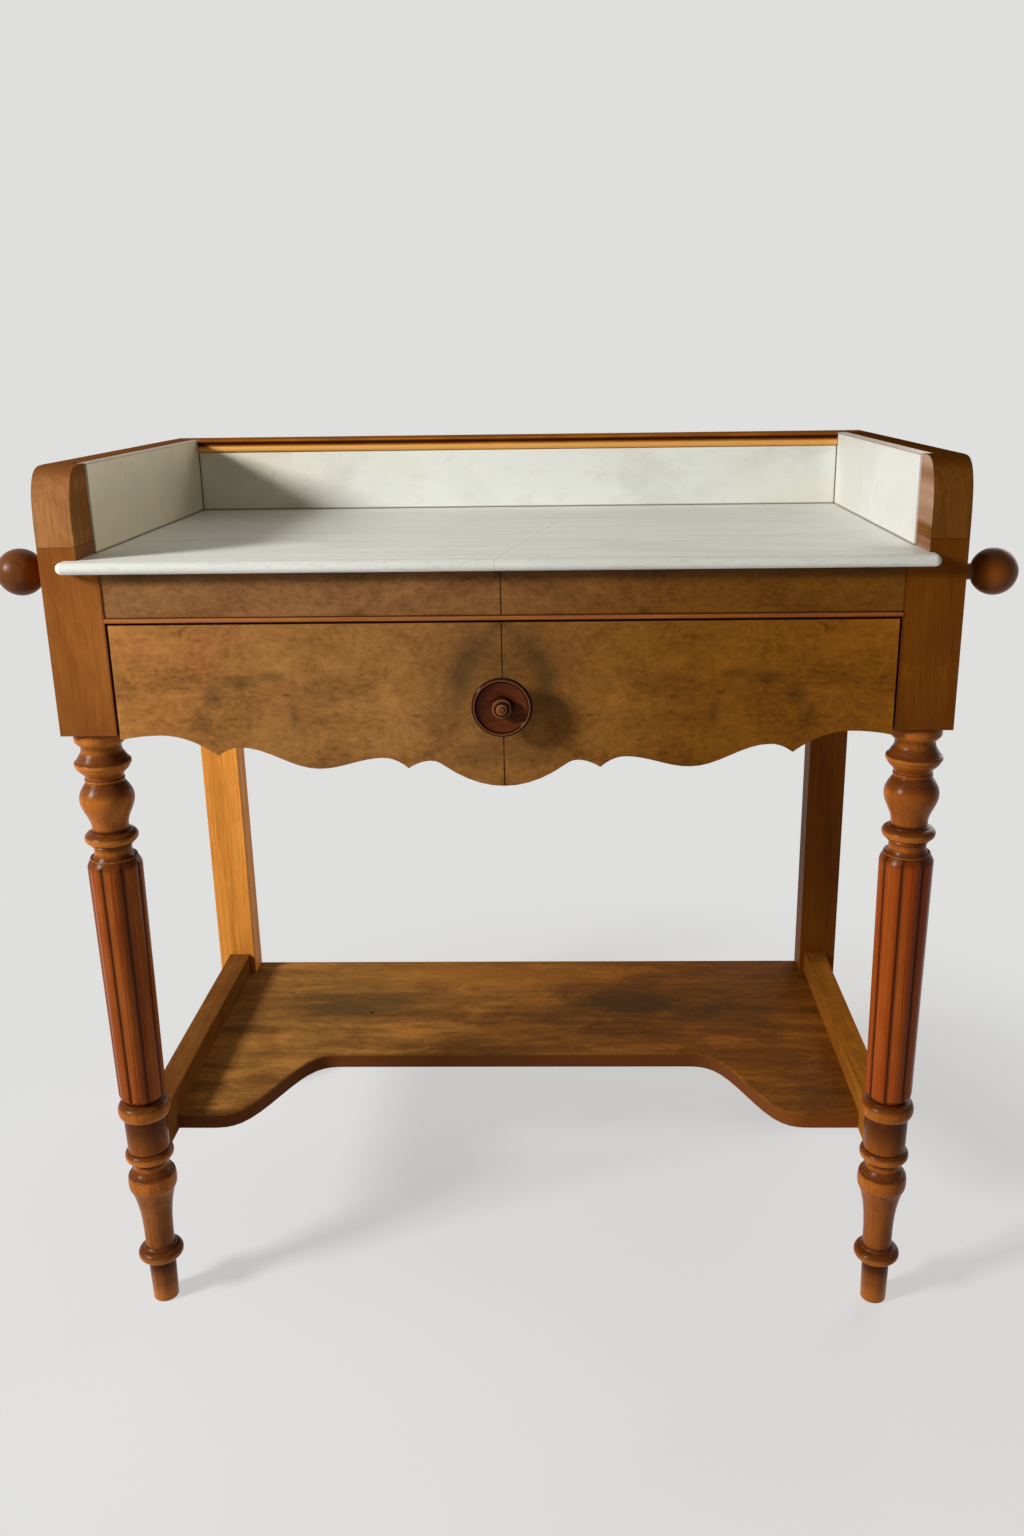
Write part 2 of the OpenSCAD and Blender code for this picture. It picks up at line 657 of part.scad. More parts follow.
// Half the shelf's outline. Its sides are housed in the stretchers, and its back passes between the
// rear legs.
function shelf_half(lobe_w) = let (x_side = x_stretcher + shelf_housing, x_back = x_rear - shelf_fit)
    concat([[x_back, case_d - shelf_back], [x_back, y_rear - shelf_fit],
        [x_side, y_rear - shelf_fit], [x_side, shelf_lobe_y]], shelf_edge(lobe_w));

function turned_over(points) = [for (i = [len(points) - 1 : -1 : 0]) [-points[i][0], points[i][1]]];

module shelf_board() translate([0, 0, z_shelf]) linear_extrude(height = shelf_t)
    polygon(concat(shelf_half(shelf_lobe_right), turned_over(shelf_half(shelf_lobe_left))));

module shelf() color(shelf_wood) seat() shelf_board();

// ---------------------------------------------------------------- drawer

// Scalloped lower edge, for the right half: each station is [share of the half width, share of the
// drop below the highest crest], and a curve of its own kind leads there from the one before.
function crest(a, b, n = 5) = // leaves a level and bends away towards b
    [for (i = [1 : n]) let (t = i / n) [a[0] + (b[0] - a[0]) * t, a[1] + (b[1] - a[1]) * t * t]];
function foot(a, b, n = 5) = // leaves a bending and arrives at b level
    [for (i = [1 : n]) let (t = i / n)
        [a[0] + (b[0] - a[0]) * t, b[1] + (a[1] - b[1]) * (1 - t) * (1 - t)]];
function roll(a, b, n = 8) = // level at both ends
    [for (i = [1 : n]) let (t = i / n)
        [a[0] + (b[0] - a[0]) * t, a[1] + (b[1] - a[1]) * (1 - cos(180 * t)) / 2]];

function scallop_half() = let (
    middle = [0, 1], turn = [0.16, 0.59], crest_1 = [0.19, 0.51], cusp_1 = [0.25, 0.65],
    crest_2 = [0.315, 0.45], hollow = [0.483, 0.65], crest_3 = [0.69, 0.235], cusp_2 = [0.747, 0.39],
    crest_4 = [0.893, 0], end = [1, 0.08])
    concat([middle], crest(middle, turn), foot(turn, crest_1, 3), crest(crest_1, cusp_1),
        foot(cusp_1, crest_2), roll(crest_2, hollow), roll(hollow, crest_3), crest(crest_3, cusp_2),
        foot(cusp_2, crest_4, 7), crest(crest_4, end, 4));

// The drawer front's face: x from the middle, y up
module drawer_face(half_w) {
    edge = [for (p = scallop_half()) [p[0] * half_w, z_block - scallop_drop * p[1]]];
    polygon(concat(edge, [[half_w, z_drawer], [0, z_drawer]]));
}

module drawer_slice(y1, y2, x_from = 0) translate([0, y2, 0]) rotate([90, 0, 0])
    linear_extrude(height = y2 - y1) intersection() {
        drawer_face(x_drawer);
        translate([x_from, 0]) square([x_drawer, z_top]);
    }

module drawer_core() for (side = [left, right]) mirror([side == left ? 1 : 0, 0, 0])
    drawer_slice(y_core, y_core_back);

// Dovetails on the front end of a drawer side, lapped by the drawer front
tail_l = core_t - housing;
tail_flare = 2;
module drawer_tails() {
    pitch = drawer_side_h / tail_count;
    half = pitch * 0.32;
    translate([x_box, 0, 0]) rotate([90, 0, -90]) linear_extrude(height = drawer_wall)
        for (k = [0 : tail_count - 1]) translate([-y_core_back, z_side + pitch * (k + 0.5)])
            polygon([[-eps, -half], [-eps, half],
                [tail_l, half + tail_flare], [tail_l, -half - tail_flare]]);
}

module drawer_floor()
    slab([housing - x_box, y_core_back - housing, z_floor],
        [x_box - housing, y_box_back - marble_fit, z_floor + drawer_floor_t]);

module drawer_back_board()
    slab([housing - x_box, y_box_back - drawer_wall - housing, z_floor + drawer_floor_t],
        [x_box - housing, y_box_back - housing, z_side_top - thin_shoulder]);

module drawer_front() color(honey) seat() difference() {
    drawer_core();
    for (side = [left, right]) mirror([side == left ? 1 : 0, 0, 0]) drawer_tails();
    drawer_floor();
    knob_tenon();
}

module drawer_veneer(side) color(burl) seat(side) difference() {
    drawer_slice(veneer_back, y_core, seam_fit);
    knob_tenon();
}

module drawer_side(side) color(pale_wood) seat(side) difference() {
    union() {
        slab([x_box - drawer_wall, y_core_back, z_side], [x_box, y_box_back, z_side_top]);
        drawer_tails();
    }
    drawer_floor();
    drawer_back_board();
}

module drawer_back() color(pale_wood) seat() drawer_back_board();

module drawer_bottom() color(pale_wood) seat() drawer_floor();

knob_tenon_r = 7;
y_knob_tenon = y_core_back - housing - 2; // stops short of the groove for the drawer's bottom
module knob_tenon() translate([0, y_knob_tenon, z_knob]) rotate([90, 0, 0])
    cylinder(r = knob_tenon_r, h = y_knob_tenon - veneer_back, $fn = round_fn);

// Turned dish: a foot, a neck, a flared back, a rounded rim, a hollow and a stepped middle.
// Radii are shares of the rim's, heights are shares of the reach.
module drawer_knob() color(dark_wood) seat() {
    r = knob_r;
    h = knob_reach;
    z_rim = 0.54 * h;
    rim_h = 0.18 * h;
    z_hollow = 0.57 * h;
    boss_r = 0.35 * r;
    knob_tenon();
    translate([0, veneer_back, z_knob]) rotate([90, 0, 0]) rotate_extrude($fn = round_fn) polygon(concat(
        [[0, 0], [0.55 * r, 0], [0.55 * r, 0.07 * h]],
        sweep(0.07 * h, 0.16 * h, 0.5 * r, 0.37 * r, 4),
        flare(0.27 * h, z_rim - 0.27 * h, 0.38 * r, 0.89 * r),
        bead(z_rim, rim_h, 0.9 * r, r),
        [[0.86 * r, z_rim + 0.8 * rim_h]],
        flare(z_rim + 0.8 * rim_h, z_hollow - z_rim - 0.8 * rim_h, 0.86 * r, 1.15 * boss_r, 6, 1),
        [[boss_r, z_hollow], [boss_r, 0.77 * h]],
        bead(0.77 * h, 0.07 * h, 0.88 * boss_r, boss_r, 4),
        [[0.76 * boss_r, 0.84 * h], [0.74 * boss_r, 0.92 * h], [0.66 * boss_r, 0.94 * h],
            [0.4 * boss_r, 0.95 * h], [0.34 * boss_r, 0.99 * h], [0.26 * boss_r, h], [0, h]]));
}

// ---------------------------------------------------------------- the pieces

front_leg(left, reed_turn_left);  // front_leg_left
front_leg(right, reed_turn_right);  // front_leg_right
rear_leg(left);  // rear_leg_left
rear_leg(right);  // rear_leg_right
side_apron(left);  // side_apron_left
side_apron(right);  // side_apron_right
back_apron();
frieze_rail();
frieze_veneer(left);  // frieze_veneer_left
frieze_veneer(right);  // frieze_veneer_right
frieze_bead();
drawer_runner(left);  // drawer_runner_left
drawer_runner(right);  // drawer_runner_right
drawer_guide(left);  // drawer_guide_left
drawer_guide(right);  // drawer_guide_right
drawer_kicker(left);  // drawer_kicker_left
drawer_kicker(right);  // drawer_kicker_right
drawer_stops();
slab_ledger_side(left);  // slab_ledger_left
slab_ledger_side(right);  // slab_ledger_right
slab_ledger_back();
rod_guide(left);  // rod_guide_left
rod_guide(right);  // rod_guide_right
marble_top();
marble_splash_back();
marble_splash_side(left);  // marble_splash_left
marble_splash_side(right);  // marble_splash_right
gallery_side(left);  // gallery_side_left
gallery_side(right);  // gallery_side_right
gallery_panel();
gallery_cap();
gallery_dowels();
stretcher(left);  // stretcher_left
stretcher(right);  // stretcher_right
shelf();
drawer_front();
drawer_veneer(left);  // drawer_veneer_left
drawer_veneer(right);  // drawer_veneer_right
drawer_side(left);  // drawer_side_left
drawer_side(right);  // drawer_side_right
drawer_back();
drawer_bottom();
drawer_knob();
towel_rod(left);  // towel_rod_left
towel_rod(right);  // towel_rod_right
towel_ball(left);  // towel_ball_left
towel_ball(right);  // towel_ball_right
towel_pin(left);  // towel_pin_left
towel_pin(right);  // towel_pin_right
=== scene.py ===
"""Dresses the washstand: finishes for its woods, veneers and marble, newly turned front legs and
knob, eased edges on the joinery, and a plain studio with the camera."""

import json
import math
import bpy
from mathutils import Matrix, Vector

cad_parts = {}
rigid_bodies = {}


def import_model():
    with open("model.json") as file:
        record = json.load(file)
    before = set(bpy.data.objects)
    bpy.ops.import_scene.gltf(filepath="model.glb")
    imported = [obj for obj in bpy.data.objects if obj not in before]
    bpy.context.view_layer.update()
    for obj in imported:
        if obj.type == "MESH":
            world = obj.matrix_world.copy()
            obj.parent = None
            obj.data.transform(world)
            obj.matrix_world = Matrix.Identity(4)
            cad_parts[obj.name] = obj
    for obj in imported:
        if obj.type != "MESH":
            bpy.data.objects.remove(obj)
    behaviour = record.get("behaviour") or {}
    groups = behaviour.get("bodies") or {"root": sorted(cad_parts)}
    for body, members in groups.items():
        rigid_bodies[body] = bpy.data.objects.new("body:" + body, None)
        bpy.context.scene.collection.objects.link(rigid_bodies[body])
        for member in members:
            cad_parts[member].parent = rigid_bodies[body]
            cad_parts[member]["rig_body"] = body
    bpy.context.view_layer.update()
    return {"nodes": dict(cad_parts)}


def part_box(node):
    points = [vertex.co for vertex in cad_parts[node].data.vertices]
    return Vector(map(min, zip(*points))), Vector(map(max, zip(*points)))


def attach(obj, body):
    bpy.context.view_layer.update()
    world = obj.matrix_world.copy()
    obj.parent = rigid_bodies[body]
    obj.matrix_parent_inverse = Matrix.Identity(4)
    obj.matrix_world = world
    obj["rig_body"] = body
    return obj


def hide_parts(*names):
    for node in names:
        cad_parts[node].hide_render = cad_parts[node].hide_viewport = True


bl_info = {
    "name": "Washstand with marble top",
    "version": (1, 0, 0),
    "blender": (4, 5, 0),
    "location": "3D Viewport > Sidebar > Washstand",
    "description": "Finishes the woods, veneers and marble of a washstand and sets its studio",
    "category": "Object",
}

import bmesh
import bpy
from bpy.props import FloatProperty, FloatVectorProperty, IntProperty, PointerProperty
from mathutils import Euler, Vector

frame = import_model()

SIDES = {"left": -1, "right": 1}
CARCASS = "carcass"
DRAWER = "drawer"


# ---------------------------------------------------------------- sizes and colours


def tone(label, colour, note):
    """A wood or stone colour, as a property."""
    return FloatVectorProperty(
        name=label, description=note, subtype="COLOR", size=3, min=0.0, max=1.0, default=colour
    )


def length(label, default, low, high, note):
    """A length in metres, as a property."""
    return FloatProperty(
        name=label,
        description=note,
        default=default,
        min=low,
        max=high,
        unit="LENGTH",
        subtype="DISTANCE",
        precision=4,
    )


def share(label, default, note, high=1.0):
    """A plain share, as a property."""
    return FloatProperty(
        name=label, description=note, default=default, min=0.0, max=high, subtype="FACTOR"
    )


def power(label, default, note):
    """A lamp's power in watts, as a property."""
    return FloatProperty(name=label, description=note, default=default, min=0.0, unit="POWER")


class WashstandWoods(bpy.types.PropertyGroup):
    """Colours of the woods."""

    # The right post and the right gallery end are darker than the left ones partly by their own wood
    # and partly as painted shade.
    post_left: tone("Left post", (0.31, 0.108, 0.019), "Honey wood of the left post")
    post_right: tone("Right post", (0.209, 0.065, 0.0035), "Darker wood of the right post")
    gallery_left: tone("Left gallery", (0.395, 0.178, 0.064), "Wood of the gallery's left end")
    gallery_right: tone("Right gallery", (0.186, 0.070, 0.011), "Wood of the gallery's right end")
    turning_left: tone("Left turning", (0.385, 0.121, 0.016), "Wood of the left turned leg")
    turning_right: tone("Right turning", (0.385, 0.113, 0.013), "Wood of the right turned leg")
    # The left rear leg's light colour is painted light, and the right rear leg's dark colour is
    # painted shade where the case shades it.
    rear_left: tone("Left rear leg", (0.70, 0.278, 0.045), "Bright wood of the left rear leg")
    rear_right: tone("Right rear leg", (0.225, 0.069, 0.005), "Dark wood of the right rear leg")
    side: tone("Sides", (0.26, 0.10, 0.020), "Wood of the side aprons")
    stretcher_left: tone("Left stretcher", (0.20, 0.080, 0.020), "Wood of the left stretcher")
    stretcher_right: tone("Right stretcher", (0.35, 0.130, 0.018), "Wood of the right stretcher")
    cap: tone("Cap", (0.42, 0.15, 0.022), "Wood of the moulded cap")
    bead: tone("Bead", (0.45, 0.175, 0.050), "Thin strip under the frieze")
    shelf: tone("Shelf", (0.255, 0.107, 0.022), "Top of the shelf")
    shelf_edge: tone("Shelf edge", (0.115, 0.034, 0.008), "Red-brown front edge of the shelf")
    inside: tone("Inside", (0.46, 0.30, 0.14), "Plain softwood of the inside and back")
    knob: tone("Knob", (0.21, 0.050, 0.011), "Polished dark wood of the knob")
    knob_rim: tone("Knob rim", (0.030, 0.007, 0.003), "Near-black rim and quirks of the knob")
    # The right ball's lighter colour is painted light, for the light that the case keeps off it.
    ball_left: tone("Left ball", (0.13, 0.040, 0.007), "Left turned ball")
    ball_right: tone("Right ball", (0.22, 0.072, 0.008), "Right turned ball")


class WashstandVeneers(bpy.types.PropertyGroup):
    """Colours and figure of the veneers."""

    light: tone("Light figure", (0.405, 0.188, 0.053), "Light parts of the figure")
    middle: tone("Middle figure", (0.272, 0.121, 0.031), "Middle tone of the figure")
    dark: tone("Dark figure", (0.14, 0.060, 0.015), "Dark parts of the figure")
    # The smoke colour is also laid as the painted shadow of the marble's nosing along the top of the
    # frieze.
    smoke_and_shade: tone("Smoke", (0.050, 0.032, 0.014), "Dark clouds in the figure")
    # The frieze's tone darkens it partly as painted shade under the nosing.
    frieze: tone("Frieze", (0.78, 0.80, 1.0), "The frieze's tone, times the figure's colours")
    # The right tone darkens the right end partly by the veneer's own tone and partly as painted
    # shade.
    right: tone("Right", (0.67, 0.545, 0.17), "Tone of the right end, times the figure's colours")
    seam: length("Seam", 0.0011, 0.0, 0.004, "Width of the darkened seam between the leaves")


class WashstandMarble(bpy.types.PropertyGroup):
    """Colours and marks of the marble."""

    top: tone("Top", (0.875, 0.90, 0.875), "Colour of the marble top")
    # The slips differ as painted light: the left one warmer for the warm light in its shade, the
    # right one darker where the lamp falls full on it.
    splash: tone("Back slip", (0.80, 0.83, 0.81), "Colour of the back slip")
    splash_left: tone("Left slip", (0.76, 0.735, 0.65), "Warmer colour of the left slip")
    splash_right: tone("Right slip", (0.72, 0.72, 0.71), "Colour of the right slip")
    cloud: tone("Cloud", (0.60, 0.62, 0.56), "Colour of the clouds and streaks")
    stain: tone("Stain", (0.42, 0.36, 0.26), "Brown specks on the nosing and in the crack")
    # The joint colour is also laid as painted shade, stronger in the shaded left joints.
    joint: tone("Joint", (0.16, 0.13, 0.08), "Dirt in the joints and on the upper edges")
    streaks: share("Streaks", 0.35, "Strength of the streaks in the top")
    crack: length("Crack", 0.0007, 0.0, 0.003, "Width of the hairline crack")


class WashstandWork(bpy.types.PropertyGroup):
    """Sizes of the hand work."""

    ease: length("Eased edge", 0.0011, 0.0002, 0.004, "Rounding of the outside edges")
    fine_ease: length("Fine edge", 0.0004, 0.0001, 0.002, "Rounding of thin and hidden edges")
    soft_ease: length("Soft edge", 0.0028, 0.0005, 0.005, "Worn edges of the gallery's ends")
    reeds: IntProperty(
        name="Reeds", description="Number of reeds round a column", default=8, min=6, max=16
    )
    reed_depth: length("Reed depth", 0.0024, 0.0005, 0.004, "Depth of the grooves between the reeds")
    crease: length("Crease", 0.0004, 0.0, 0.001, "Depth of the fine line along each reed")
    reed_turn_left: share("Left turn", 0.758, "Turn of the left column, as a share of one reed")
    reed_turn_right: share("Right turn", 0.967, "Turn of the right column, as a share of one reed")


class WashstandStudio(bpy.types.PropertyGroup):
    """Camera, lamps and backdrop."""

    eye: FloatVectorProperty(
        name="Camera",
        description="Place of the camera",
        subtype="TRANSLATION",
        unit="LENGTH",
        size=3,
        default=(0.0611, -1.3532, 0.9638),
    )
    aim: FloatVectorProperty(
        name="Camera turn",
        description="Turn of the camera about X, Y and Z",
        subtype="EULER",
        unit="ROTATION",
        size=3,
        default=(math.radians(72.587), math.radians(0.737), math.radians(1.111)),
    )
    lens: FloatProperty(
        name="Lens", description="Focal length in millimetres", default=30.164, min=15, max=120
    )
    backdrop: tone("Backdrop", (0.74, 0.74, 0.728), "Colour of the backdrop and the far floor")
    floor: tone("Floor", (0.88, 0.89, 0.96), "Colour of the floor near the washstand")
    even: share("Even floor", 0.70, "Share of the near floor that shows the backdrop's even tone")
    window: power("Window", 96.0, "Power of the soft lamp from the left")
    behind: power("Behind", 44.0, "Power of the large lamp from behind")
    room: share("Room light", 0.11, "Strength of the even light from all round", 2.0)
    room_tone: tone("Room tone", (1.0, 0.90, 0.66), "Colour of the even light from all round")


GROUPS = {
    "washstand_woods": WashstandWoods,
    "washstand_veneers": WashstandVeneers,
    "washstand_marble": WashstandMarble,
    "washstand_work": WashstandWork,
    "washstand_studio": WashstandStudio,
}


# ---------------------------------------------------------------- finishes


def darker(colour, by):
    """A colour times a factor, channel by channel where by is a colour."""
    factors = by if hasattr(by, "__len__") else (by, by, by)
    return tuple(c * f for c, f in zip(colour, factors))


class Finish:
    """One finish, built up node by node. Patterns follow the object's own coordinates."""

    def __init__(self, name, roughness=0.5, shine=0.2):
        self.material = bpy.data.materials.new(name)
        self.material.use_nodes = True
        self.nodes = self.material.node_tree.nodes
        self.links = self.material.node_tree.links
        self.shader = self.nodes["Principled BSDF"]
        self.shader.inputs["Roughness"].default_value = roughness
        self.shader.inputs["Specular IOR Level"].default_value = shine
        self.place = self.nodes.new("ShaderNodeTexCoord").outputs["Object"]

    def feed(self, socket, value):
        """Links a node's output, or sets a plain number or colour."""
        if isinstance(value, bpy.types.NodeSocket):
            self.links.new(value, socket)
        elif socket.type == "RGBA":
            socket.default_value = (*value[:3], 1.0)
        else:
            socket.default_value = value

    def sum(self, operation, *values):
        """A Math node."""
        node = self.nodes.new("ShaderNodeMath")
        node.operation = operation
        for socket, value in zip(node.inputs, values):
            self.feed(socket, value)
        return node.outputs[0]

    def times(self, *values):
        """The product of several values."""
        product = values[0]
        for value in values[1:]:
            product = self.sum("MULTIPLY", product, value)
        return product

    def off(self, value, middle):
        """Distance of a value from a middle."""
        return self.sum("ABSOLUTE", self.sum("SUBTRACT", value, middle))

    def span(self, value, low, high, to_low=0.0, to_high=1.0, soft=True):
        """The value's place between low and high, eased at both ends."""
        node = self.nodes.new("ShaderNodeMapRange")
        node.interpolation_type = "SMOOTHSTEP" if soft else "LINEAR"
        for socket, given in zip(node.inputs, (value, low, high, to_low, to_high)):
            self.feed(socket, given)
        return node.outputs[0]

    def blend(self, share_of, first, second, how="MIX"):
        """Two colours mixed."""
        node = self.nodes.new("ShaderNodeMix")
        node.data_type = "RGBA"
        node.blend_type = how
        self.feed(node.inputs[0], share_of)
        self.feed(node.inputs[6], first)
        self.feed(node.inputs[7], second)
        return node.outputs[2]

    def apart(self, vector):
        """The three coordinates of a point."""
        node = self.nodes.new("ShaderNodeSeparateXYZ")
        self.feed(node.inputs[0], vector)
        return node.outputs[0], node.outputs[1], node.outputs[2]

    def point(self, x, y, z):
        """A point from three coordinates."""
        node = self.nodes.new("ShaderNodeCombineXYZ")
        for socket, value in zip(node.inputs, (x, y, z)):
            self.feed(socket, value)
        return node.outputs[0]

    def wander(self, vector, scale, reach, detail=3.0):
        """A point pushed about by cloudy noise, by up to half the reach each way."""
        push = self.noise(self.stretch(vector, scale), detail, 0.5, colour=True)
        node = self.nodes.new("ShaderNodeVectorMath")
        node.operation = "MULTIPLY_ADD"
        self.feed(node.inputs[0], push)
        node.inputs[1].default_value = (reach, reach, reach)
        self.feed(node.inputs[2], self.stretch(vector, (1, 1, 1), (-reach / 2,) * 3))
        return node.outputs[0]

    def stretch(self, vector, scale, move=(0, 0, 0), turn=(0, 0, 0)):
        """A point in a stretched, turned and moved pattern."""
        node = self.nodes.new("ShaderNodeMapping")
        self.feed(node.inputs["Vector"], vector)
        node.inputs["Location"].default_value = move
        node.inputs["Rotation"].default_value = turn
        node.inputs["Scale"].default_value = scale
        return node.outputs[0]

    def noise(self, vector, detail=3.0, roughness=0.55, twist=0.0, colour=False):
        """Cloudy noise from 0 to 1."""
        node = self.nodes.new("ShaderNodeTexNoise")
        self.feed(node.inputs["Vector"], vector)
        node.inputs["Scale"].default_value = 1.0
        node.inputs["Detail"].default_value = detail
        node.inputs["Roughness"].default_value = roughness
        node.inputs["Distortion"].default_value = twist
        return node.outputs["Color" if colour else "Fac"]

    def bands(self, value, scale, detail=3.0, roughness=0.55):
        """Noise along one line, as bands of uneven width."""
        node = self.nodes.new("ShaderNodeTexNoise")
        node.noise_dimensions = "1D"
        self.feed(node.inputs["W"], value)
        node.inputs["Scale"].default_value = scale
        node.inputs["Detail"].default_value = detail
        node.inputs["Roughness"].default_value = roughness
        return node.outputs["Fac"]

    def ramp(self, value, *stops):
        """A row of colours along a value; each stop is (place, colour)."""
        node = self.nodes.new("ShaderNodeValToRGB")
        self.feed(node.inputs[0], value)
        row = node.color_ramp.elements
        while len(row) < len(stops):
            row.new(0.5)
        for element, (place, colour) in zip(row, stops):
            element.position = place
            element.color = (*colour[:3], 1.0)
        return node.outputs[0]

    def distance(self, vector, centre=(0, 0, 0)):
        """Distance from a point to a fixed centre."""
        node = self.nodes.new("ShaderNodeVectorMath")
        node.operation = "DISTANCE"
        self.feed(node.inputs[0], vector)
        node.inputs[1].default_value = centre
        return node.outputs["Value"]

    def patch(self, vector, centre, reach, soft=0.8, ragged=None, rough=1.0):
        """1 in the middle of an oval and 0 outside it; ragged noise breaks its edge up."""
        scale = [1 / r if r else 0.0 for r in reach]
        far = self.distance(self.stretch(vector, scale, [-c * s for c, s in zip(centre, scale)]))
        if ragged is not None:
            far = self.sum("MULTIPLY_ADD", self.sum("SUBTRACT", ragged, 0.5), rough, far)
        return self.span(far, 1.0, 1.0 - soft)

    def attribute(self, name):
        """A value stored on the piece's own points."""
        node = self.nodes.new("ShaderNodeAttribute")
        node.attribute_name = name
        return node.outputs["Fac"]

    def relief(self, height, strength, depth):
        """Bumps on the surface."""
        node = self.nodes.new("ShaderNodeBump")
        node.inputs["Strength"].default_value = strength
        node.inputs["Distance"].default_value = depth
        self.feed(node.inputs["Height"], height)
        self.links.new(node.outputs["Normal"], self.shader.inputs["Normal"])

    def colour(self, value):
        """The surface's colour."""
        self.feed(self.shader.inputs["Base Color"], value)

    def roughness(self, value):
        """The surface's roughness."""
        self.feed(self.shader.inputs["Roughness"], value)


def along_grain(finish, direction):
    """The object's coordinates with the grain running along the third one."""
    x, y, z = finish.apart(finish.place)
    return {"Z": finish.place, "X": finish.point(y, z, x), "Y": finish.point(z, x, y)}[direction]


class Wood(Finish):
    """Straight or flat-sawn wood: rings about a distant heart, fibres, pores and soft clouds."""

    def __init__(
        self,
        name,
        colour,
        direction="Z",
        heart=(0.09, -0.16),
        figure=1.0,
        clouds=0.5,
        roughness=0.5,
        shine=0.06,
        start=(0.0, 0.0, 0.0),
        pores=1.0,
        contrast=1.0,
    ):
        super().__init__(name, roughness, shine)
        self.tint = tuple(colour)
        at = self.stretch(along_grain(self, direction), (1, 1, 1), start)
        bent = self.wander(at, (5, 5, 1.6), 0.03)
        ring = self.distance(self.stretch(bent, (1, 1, 0.035)), (heart[0], heart[1], 0.0))
        rings = self.bands(ring, 150 * figure, 4, 0.62)
        self.fibre = self.noise(self.stretch(bent, (420, 420, 9)), 3, 0.6)
        mix = self.sum("MULTIPLY_ADD", rings, 0.5, self.times(self.fibre, 0.5))
        half = 0.17 / contrast
        self.base = self.ramp(
            self.span(mix, 0.5 - half, 0.5 + half, soft=False),
            (0.0, self.shade((0.66, 0.58, 0.48))),
            (0.45, self.shade((0.95, 0.94, 0.92))),
            (1.0, self.shade((1.20, 1.24, 1.26))),
        )
        cloud = self.noise(self.stretch(at, (9, 9, 3.2)), 4, 0.55)
        self.lay(self.span(cloud, 0.38, 0.66, 0.0, clouds), (0.60, 0.53, 0.48))
        mottle = self.noise(self.stretch(at, (46, 46, 26)), 4, 0.62)
        self.lay(self.span(mottle, 0.47, 0.70, 0.0, 0.7 * clouds), (0.62, 0.55, 0.50))
        self.lay(self.span(mottle, 0.47, 0.28, 0.0, 0.5 * clouds), (1.30, 1.32, 1.30))
        pore = self.noise(self.stretch(bent, (900, 900, 26)), 2, 0.5)
        self.pitted = self.span(pore, 0.60, 0.72, 0.0, 0.5 * pores)
        self.lay(self.pitted, (0.38, 0.31, 0.26))

    def shade(self, by):
        """The wood's own colour, lighter or darker."""
        return darker(self.tint, by)

    def lay(self, amount, by):
        """Lays a lighter or darker shade of the wood over what is there."""
        self.base = self.blend(amount, self.base, self.shade(by))

    def lay_tone(self, amount, by):
        """Tones down what is there, channel by channel."""
        self.base = self.blend(amount, self.base, self.blend(1.0, self.base, by, "MULTIPLY"))

    def done(self):
        """Links the colours and the relief of the fibres, and gives back the material."""
        self.colour(self.base)
        base_roughness = self.shader.inputs["Roughness"].default_value
        self.roughness(self.sum("MULTIPLY_ADD", self.fibre, 0.16, base_roughness - 0.08))
        height = self.sum("MULTIPLY_ADD", self.fibre, 0.5, self.times(self.pitted, -1.0))
        self.relief(height, 0.3, 0.0004)
        return self.material


# ---------------------------------------------------------------- joinery

# In a CAD mesh, points closer than this are one, and faces that differ by less than this angle
SAME_POINT = 2e-6
SAME_FACE = math.radians(0.4)


def take_over(piece, nodes, body):
    """The piece stands for these CAD nodes and rides on their body."""
    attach(piece, body)
    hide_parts(*nodes)


def node_body(node):
    """The body that a CAD node moves with."""
    return frame["nodes"][node]["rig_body"]


def merged(node):
    """A bmesh of a CAD node with its loose triangles merged into whole faces."""
    work = bmesh.new()
    work.from_mesh(frame["nodes"][node].data)
    bmesh.ops.remove_doubles(work, verts=work.verts, dist=SAME_POINT)
    bmesh.ops.dissolve_limit(
        work,
        angle_limit=SAME_FACE,
        use_dissolve_boundaries=False,
        verts=work.verts,
        edges=work.edges,
        delimit=set(),
    )
    return work


def finished(work, name, material):
    """The bmesh as an object with a finish, smooth but for its sharp edges."""
    mesh = bpy.data.meshes.new(name)
    work.to_mesh(mesh)
    work.free()
    mesh.materials.append(material)
    mesh.shade_smooth()
    piece = bpy.data.objects.new(name, mesh)
    bpy.context.scene.collection.objects.link(piece)
    return piece


def ease_edges(piece, width, segments=2, angle=32):
    """Rounds the sharp edges, with even shading on the flats."""
    bevel = piece.modifiers.new("Eased edges", "BEVEL")
    bevel.width = width
    bevel.segments = segments
    bevel.limit_method = "ANGLE"
    bevel.angle_limit = math.radians(angle)
    bevel.use_clamp_overlap = True
    bevel.harden_normals = False
    flats = piece.modifiers.new("Flat faces", "WEIGHTED_NORMAL")
    flats.keep_sharp = True
    flats.weight = 80


def worked(node, material, ease, segments=2):
    """A merged copy of a CAD node with eased edges, in its place."""
    piece = finished(merged(node), "worked_" + node, material)
    ease_edges(piece, ease, segments)
    take_over(piece, [node], node_body(node))
    return piece


def finish_only(node, material):
    """Puts a finish on a CAD node that keeps its own shape."""
    for slot in frame["nodes"][node].material_slots:
        slot.link = "OBJECT"
        slot.material = material


# ---------------------------------------------------------------- turning

MM = 0.001
CLOSEST_POINTS = 2e-5  # of an outline, in metres
